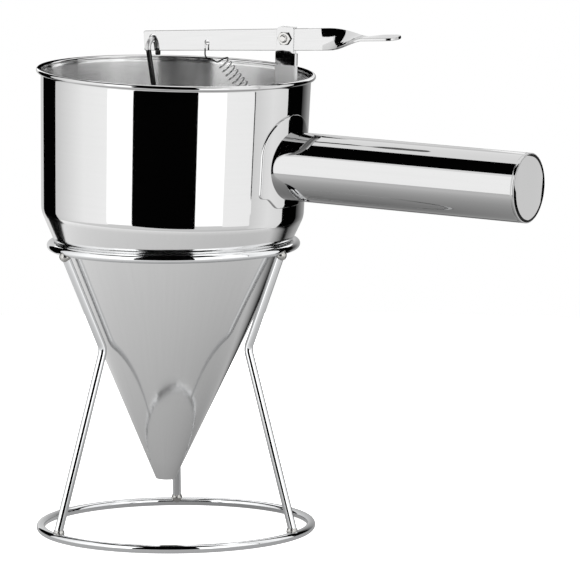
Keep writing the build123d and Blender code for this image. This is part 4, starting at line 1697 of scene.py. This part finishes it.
@dataclass(frozen=True)
class TableFinish(Finish):
    """White table cloth with the object's soft shadow on it, dark far behind, with places in metres."""

    name: str = "white_cotton_table_cloth"
    shadow: tuple[float, float, float] = (0.0, 0.067, 0.0)
    shadow_r: float = 0.47
    shaded: float = 0.27
    lit: float = 0.97
    front_y: float = 0.2
    back_y: float = 0.34

    def draw(self, tree: bpy.types.NodeTree) -> bpy.types.NodeSocket:
        """Draws light that falls off into the shadow and towards the back.

        Args:
            tree: Tree that takes the nodes.

        Returns:
            The shader's output.
        """
        solid = add_node(tree, "TexCoord", out="Object")
        away = add_node(tree, "VectorMath", {1: self.shadow}, {0: solid}, operation="DISTANCE")
        depth = add_node(tree, "SeparateXYZ", links={"Vector": solid}, out="Y")
        shade = {"From Max": self.shadow_r, "To Min": self.shaded, "To Max": self.lit}
        light = add_node(tree, "MapRange", shade, {"Value": away})
        dusk = {"From Min": self.back_y, "From Max": self.front_y}
        near = add_node(tree, "MapRange", dusk, {"Value": depth})
        glow = add_node(tree, "Math", links={0: light, 1: near}, operation="MULTIPLY")
        return add_node(tree, "Emission", links={"Strength": glow})


# Matt black card: it mirrors as a clean dark shape.
BLACK_CARD = StageFinish("matt_black_card", "#050505")
# White acrylic lit from below: the even white ground that the camera sees.
TABLE_TOP = StageFinish("white_acrylic_lit_below", "#e6e6e6", 1.0)
# White cotton under the object: the shaded ground that the metal mirrors.
TABLE_CLOTH = TableFinish()


@dataclass(frozen=True)
class Card:
    """Upright card, black or glowing from its left side to its right.

    Its sides are degrees to the right of the camera, and its distance and heights are metres. It curves round
    the object, or is flat if its right side has a distance of its own.
    """

    name: str
    left: float
    right: float
    distance: float
    top: float
    glow: tuple[float, float] | None = None
    bottom: float = 0.0
    right_distance: float | None = None
    curve_stops: int = 49

    def finish(self) -> Finish:
        """Chooses black card or lit cloth.

        Returns:
            The card's finish.
        """
        if self.glow is None:
            return BLACK_CARD
        width = math.radians(self.right - self.left) * self.distance / MM
        return ClothFinish(f"white_cotton_lit_{self.name}", width, *self.glow)

    def rows(self, camera_deg: float) -> list[Array]:
        """Draws the card's lower and upper edges.

        Args:
            camera_deg: Camera's angle round the object.

        Returns:
            Two rows of points in metres.
        """
        stops = self.curve_stops if self.right_distance is None else 2
        turns = np.radians(np.linspace(self.left, self.right, stops) + camera_deg)
        away = np.linspace(self.distance, self.right_distance or self.distance, stops)
        return [np.stack([away * np.sin(turns), -away * np.cos(turns), np.full(stops, z)], axis=1)
                for z in (self.bottom, self.top)]


@dataclass
class Studio:
    """White tent with upright cards, a black card overhead and a pale table top, with places in metres."""

    camera: PhotoCamera
    tent_light: float = 1.42
    table_r: float = 0.9
    table_inner_r: float = 0.36
    table_columns: int = 128
    cloth_z: float = -0.0002
    over_z: float = 1.0
    over_x: tuple[float, float] = (-1.2, 1.0)
    over_y: tuple[float, float] = (-0.75, -0.03)
    cards: tuple[Card, ...] = (
        Card("card_front", -34.14, 17.52, 0.6, 1.0, right_distance=0.45),
        Card("cloth_left", -62.0, -20.0, 0.67, 0.75, (1.8, 1.8)),
        Card("cloth_far_left", -80.0, -56.5, 0.575, 0.75, (1.33, 1.4)),
        Card("cloth_side_left", -125.0, -80.0, 0.575, 0.75, (0.8, 1.33)),
        Card("card_left_back", -145.0, -114.9, 0.4, 0.8),
        Card("cloth_right", 10.0, 50.0, 0.8, 0.75, (1.8, 1.8)),
        Card("cloth_far_right", 41.8, 67.35, 0.65, 0.75, (1.38, 1.36)),
        Card("card_gap_right", 60.0, 78.0, 0.9, 0.75, bottom=0.013),
        Card("cloth_side_right", 65.75, 84.0, 0.4, 0.75, (1.0, 1.2)),
        Card("cloth_side_right_back", 84.0, 102.9, 0.4, 0.75, (1.2, 1.1)),
        Card("card_right_back", 102.9, 128.6, 0.4, 0.8),
        Card("cloth_back_right", 128.6, 145.0, 0.4, 0.3, (0.05, 0.34)),
        Card("cloth_back", 145.0, 215.0, 0.4, 0.3, (0.34, 0.8)),
        Card("cloth_back_top", 150.0, 180.0, 0.4, 0.55, (1.0, 1.0), bottom=0.3),
        Card("card_behind", 156.0, 212.0, 0.2, 0.42, bottom=0.275),
    )

    def hung(self, name: str, rows: Sequence[Any], finish: Finish) -> bpy.types.Object:
        """Makes a card that only light and reflections meet, and not the camera itself.

        Args:
            name: Name of the card.
            rows: Rows of points in metres.
            finish: Its finish.

        Returns:
            The object.
        """
        skin = Skin()
        skin.grid(np.array(rows) / MM, round_columns=False)
        card = skin.made(name, Matrix.Identity(4), [finish])
        card.visible_camera = False
        return card

    def table(self, name: str, height: float, finish: Finish) -> bpy.types.Object:
        """Makes a round table top.

        Args:
            name: Name of the table top.
            height: Its height in metres.
            finish: Its finish.

        Returns:
            The object.
        """
        skin = Skin()
        edges = turned([(self.table_r, height), (self.table_inner_r, height)], self.table_columns)
        skin.cap(skin.grid(edges / MM)[-1])
        return skin.made(name, Matrix.Identity(4), [finish])

    def light(self) -> None:
        """Fills the tent with even light, which the camera sees as white."""
        world = bpy.data.worlds.new("white_tent")
        world.use_nodes = True
        tree = world.node_tree
        tree.nodes.clear()
        seen = add_node(tree, "LightPath", out="Is Camera Ray")
        strength = add_node(tree, "MapRange", {"To Min": self.tent_light, "To Max": 1.0}, {"Value": seen})
        light = add_node(tree, "Background", {"Color": linear("#ffffff")}, {"Strength": strength})
        add_node(tree, "OutputWorld", links={"Surface": light})
        bpy.context.scene.world = world
        bpy.context.scene.view_settings.view_transform = "Standard"

    def build(self) -> None:
        """Makes the tables, the cards and the tent's light.

        The photograph's ground was whitened, so the camera sees a lit table and the metal a shaded one.
        """
        seen = self.table("table_top", 0.0, TABLE_TOP)
        seen.visible_glossy = seen.visible_diffuse = seen.visible_shadow = False
        mirrored = self.table("table_cloth", self.cloth_z, TABLE_CLOTH)
        mirrored.visible_camera = False
        over = [[(x, y, self.over_z) for x in self.over_x] for y in self.over_y]
        hung = [self.hung("card_overhead", over, BLACK_CARD)]
        for card in self.cards:
            hung.append(self.hung(card.name, card.rows(self.camera.azimuth_deg), card.finish()))
        self.light()


def main() -> None:
    """Builds the object, the studio and the camera."""
    logging.basicConfig(level=logging.INFO, format="%(name)s %(message)s")
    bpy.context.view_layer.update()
    place = Placement()
    funnel = FunnelBody(place)
    gear = LeverGear(place, funnel)
    camera = PhotoCamera()
    for part in (funnel, Handle(place, funnel), gear, Piston(place, funnel, gear),
                 ReturnSpring(place, gear), WireStand(funnel), camera, Studio(camera)):
        part.build()
    bpy.context.view_layer.update()


if __name__ == "__main__":
    main()
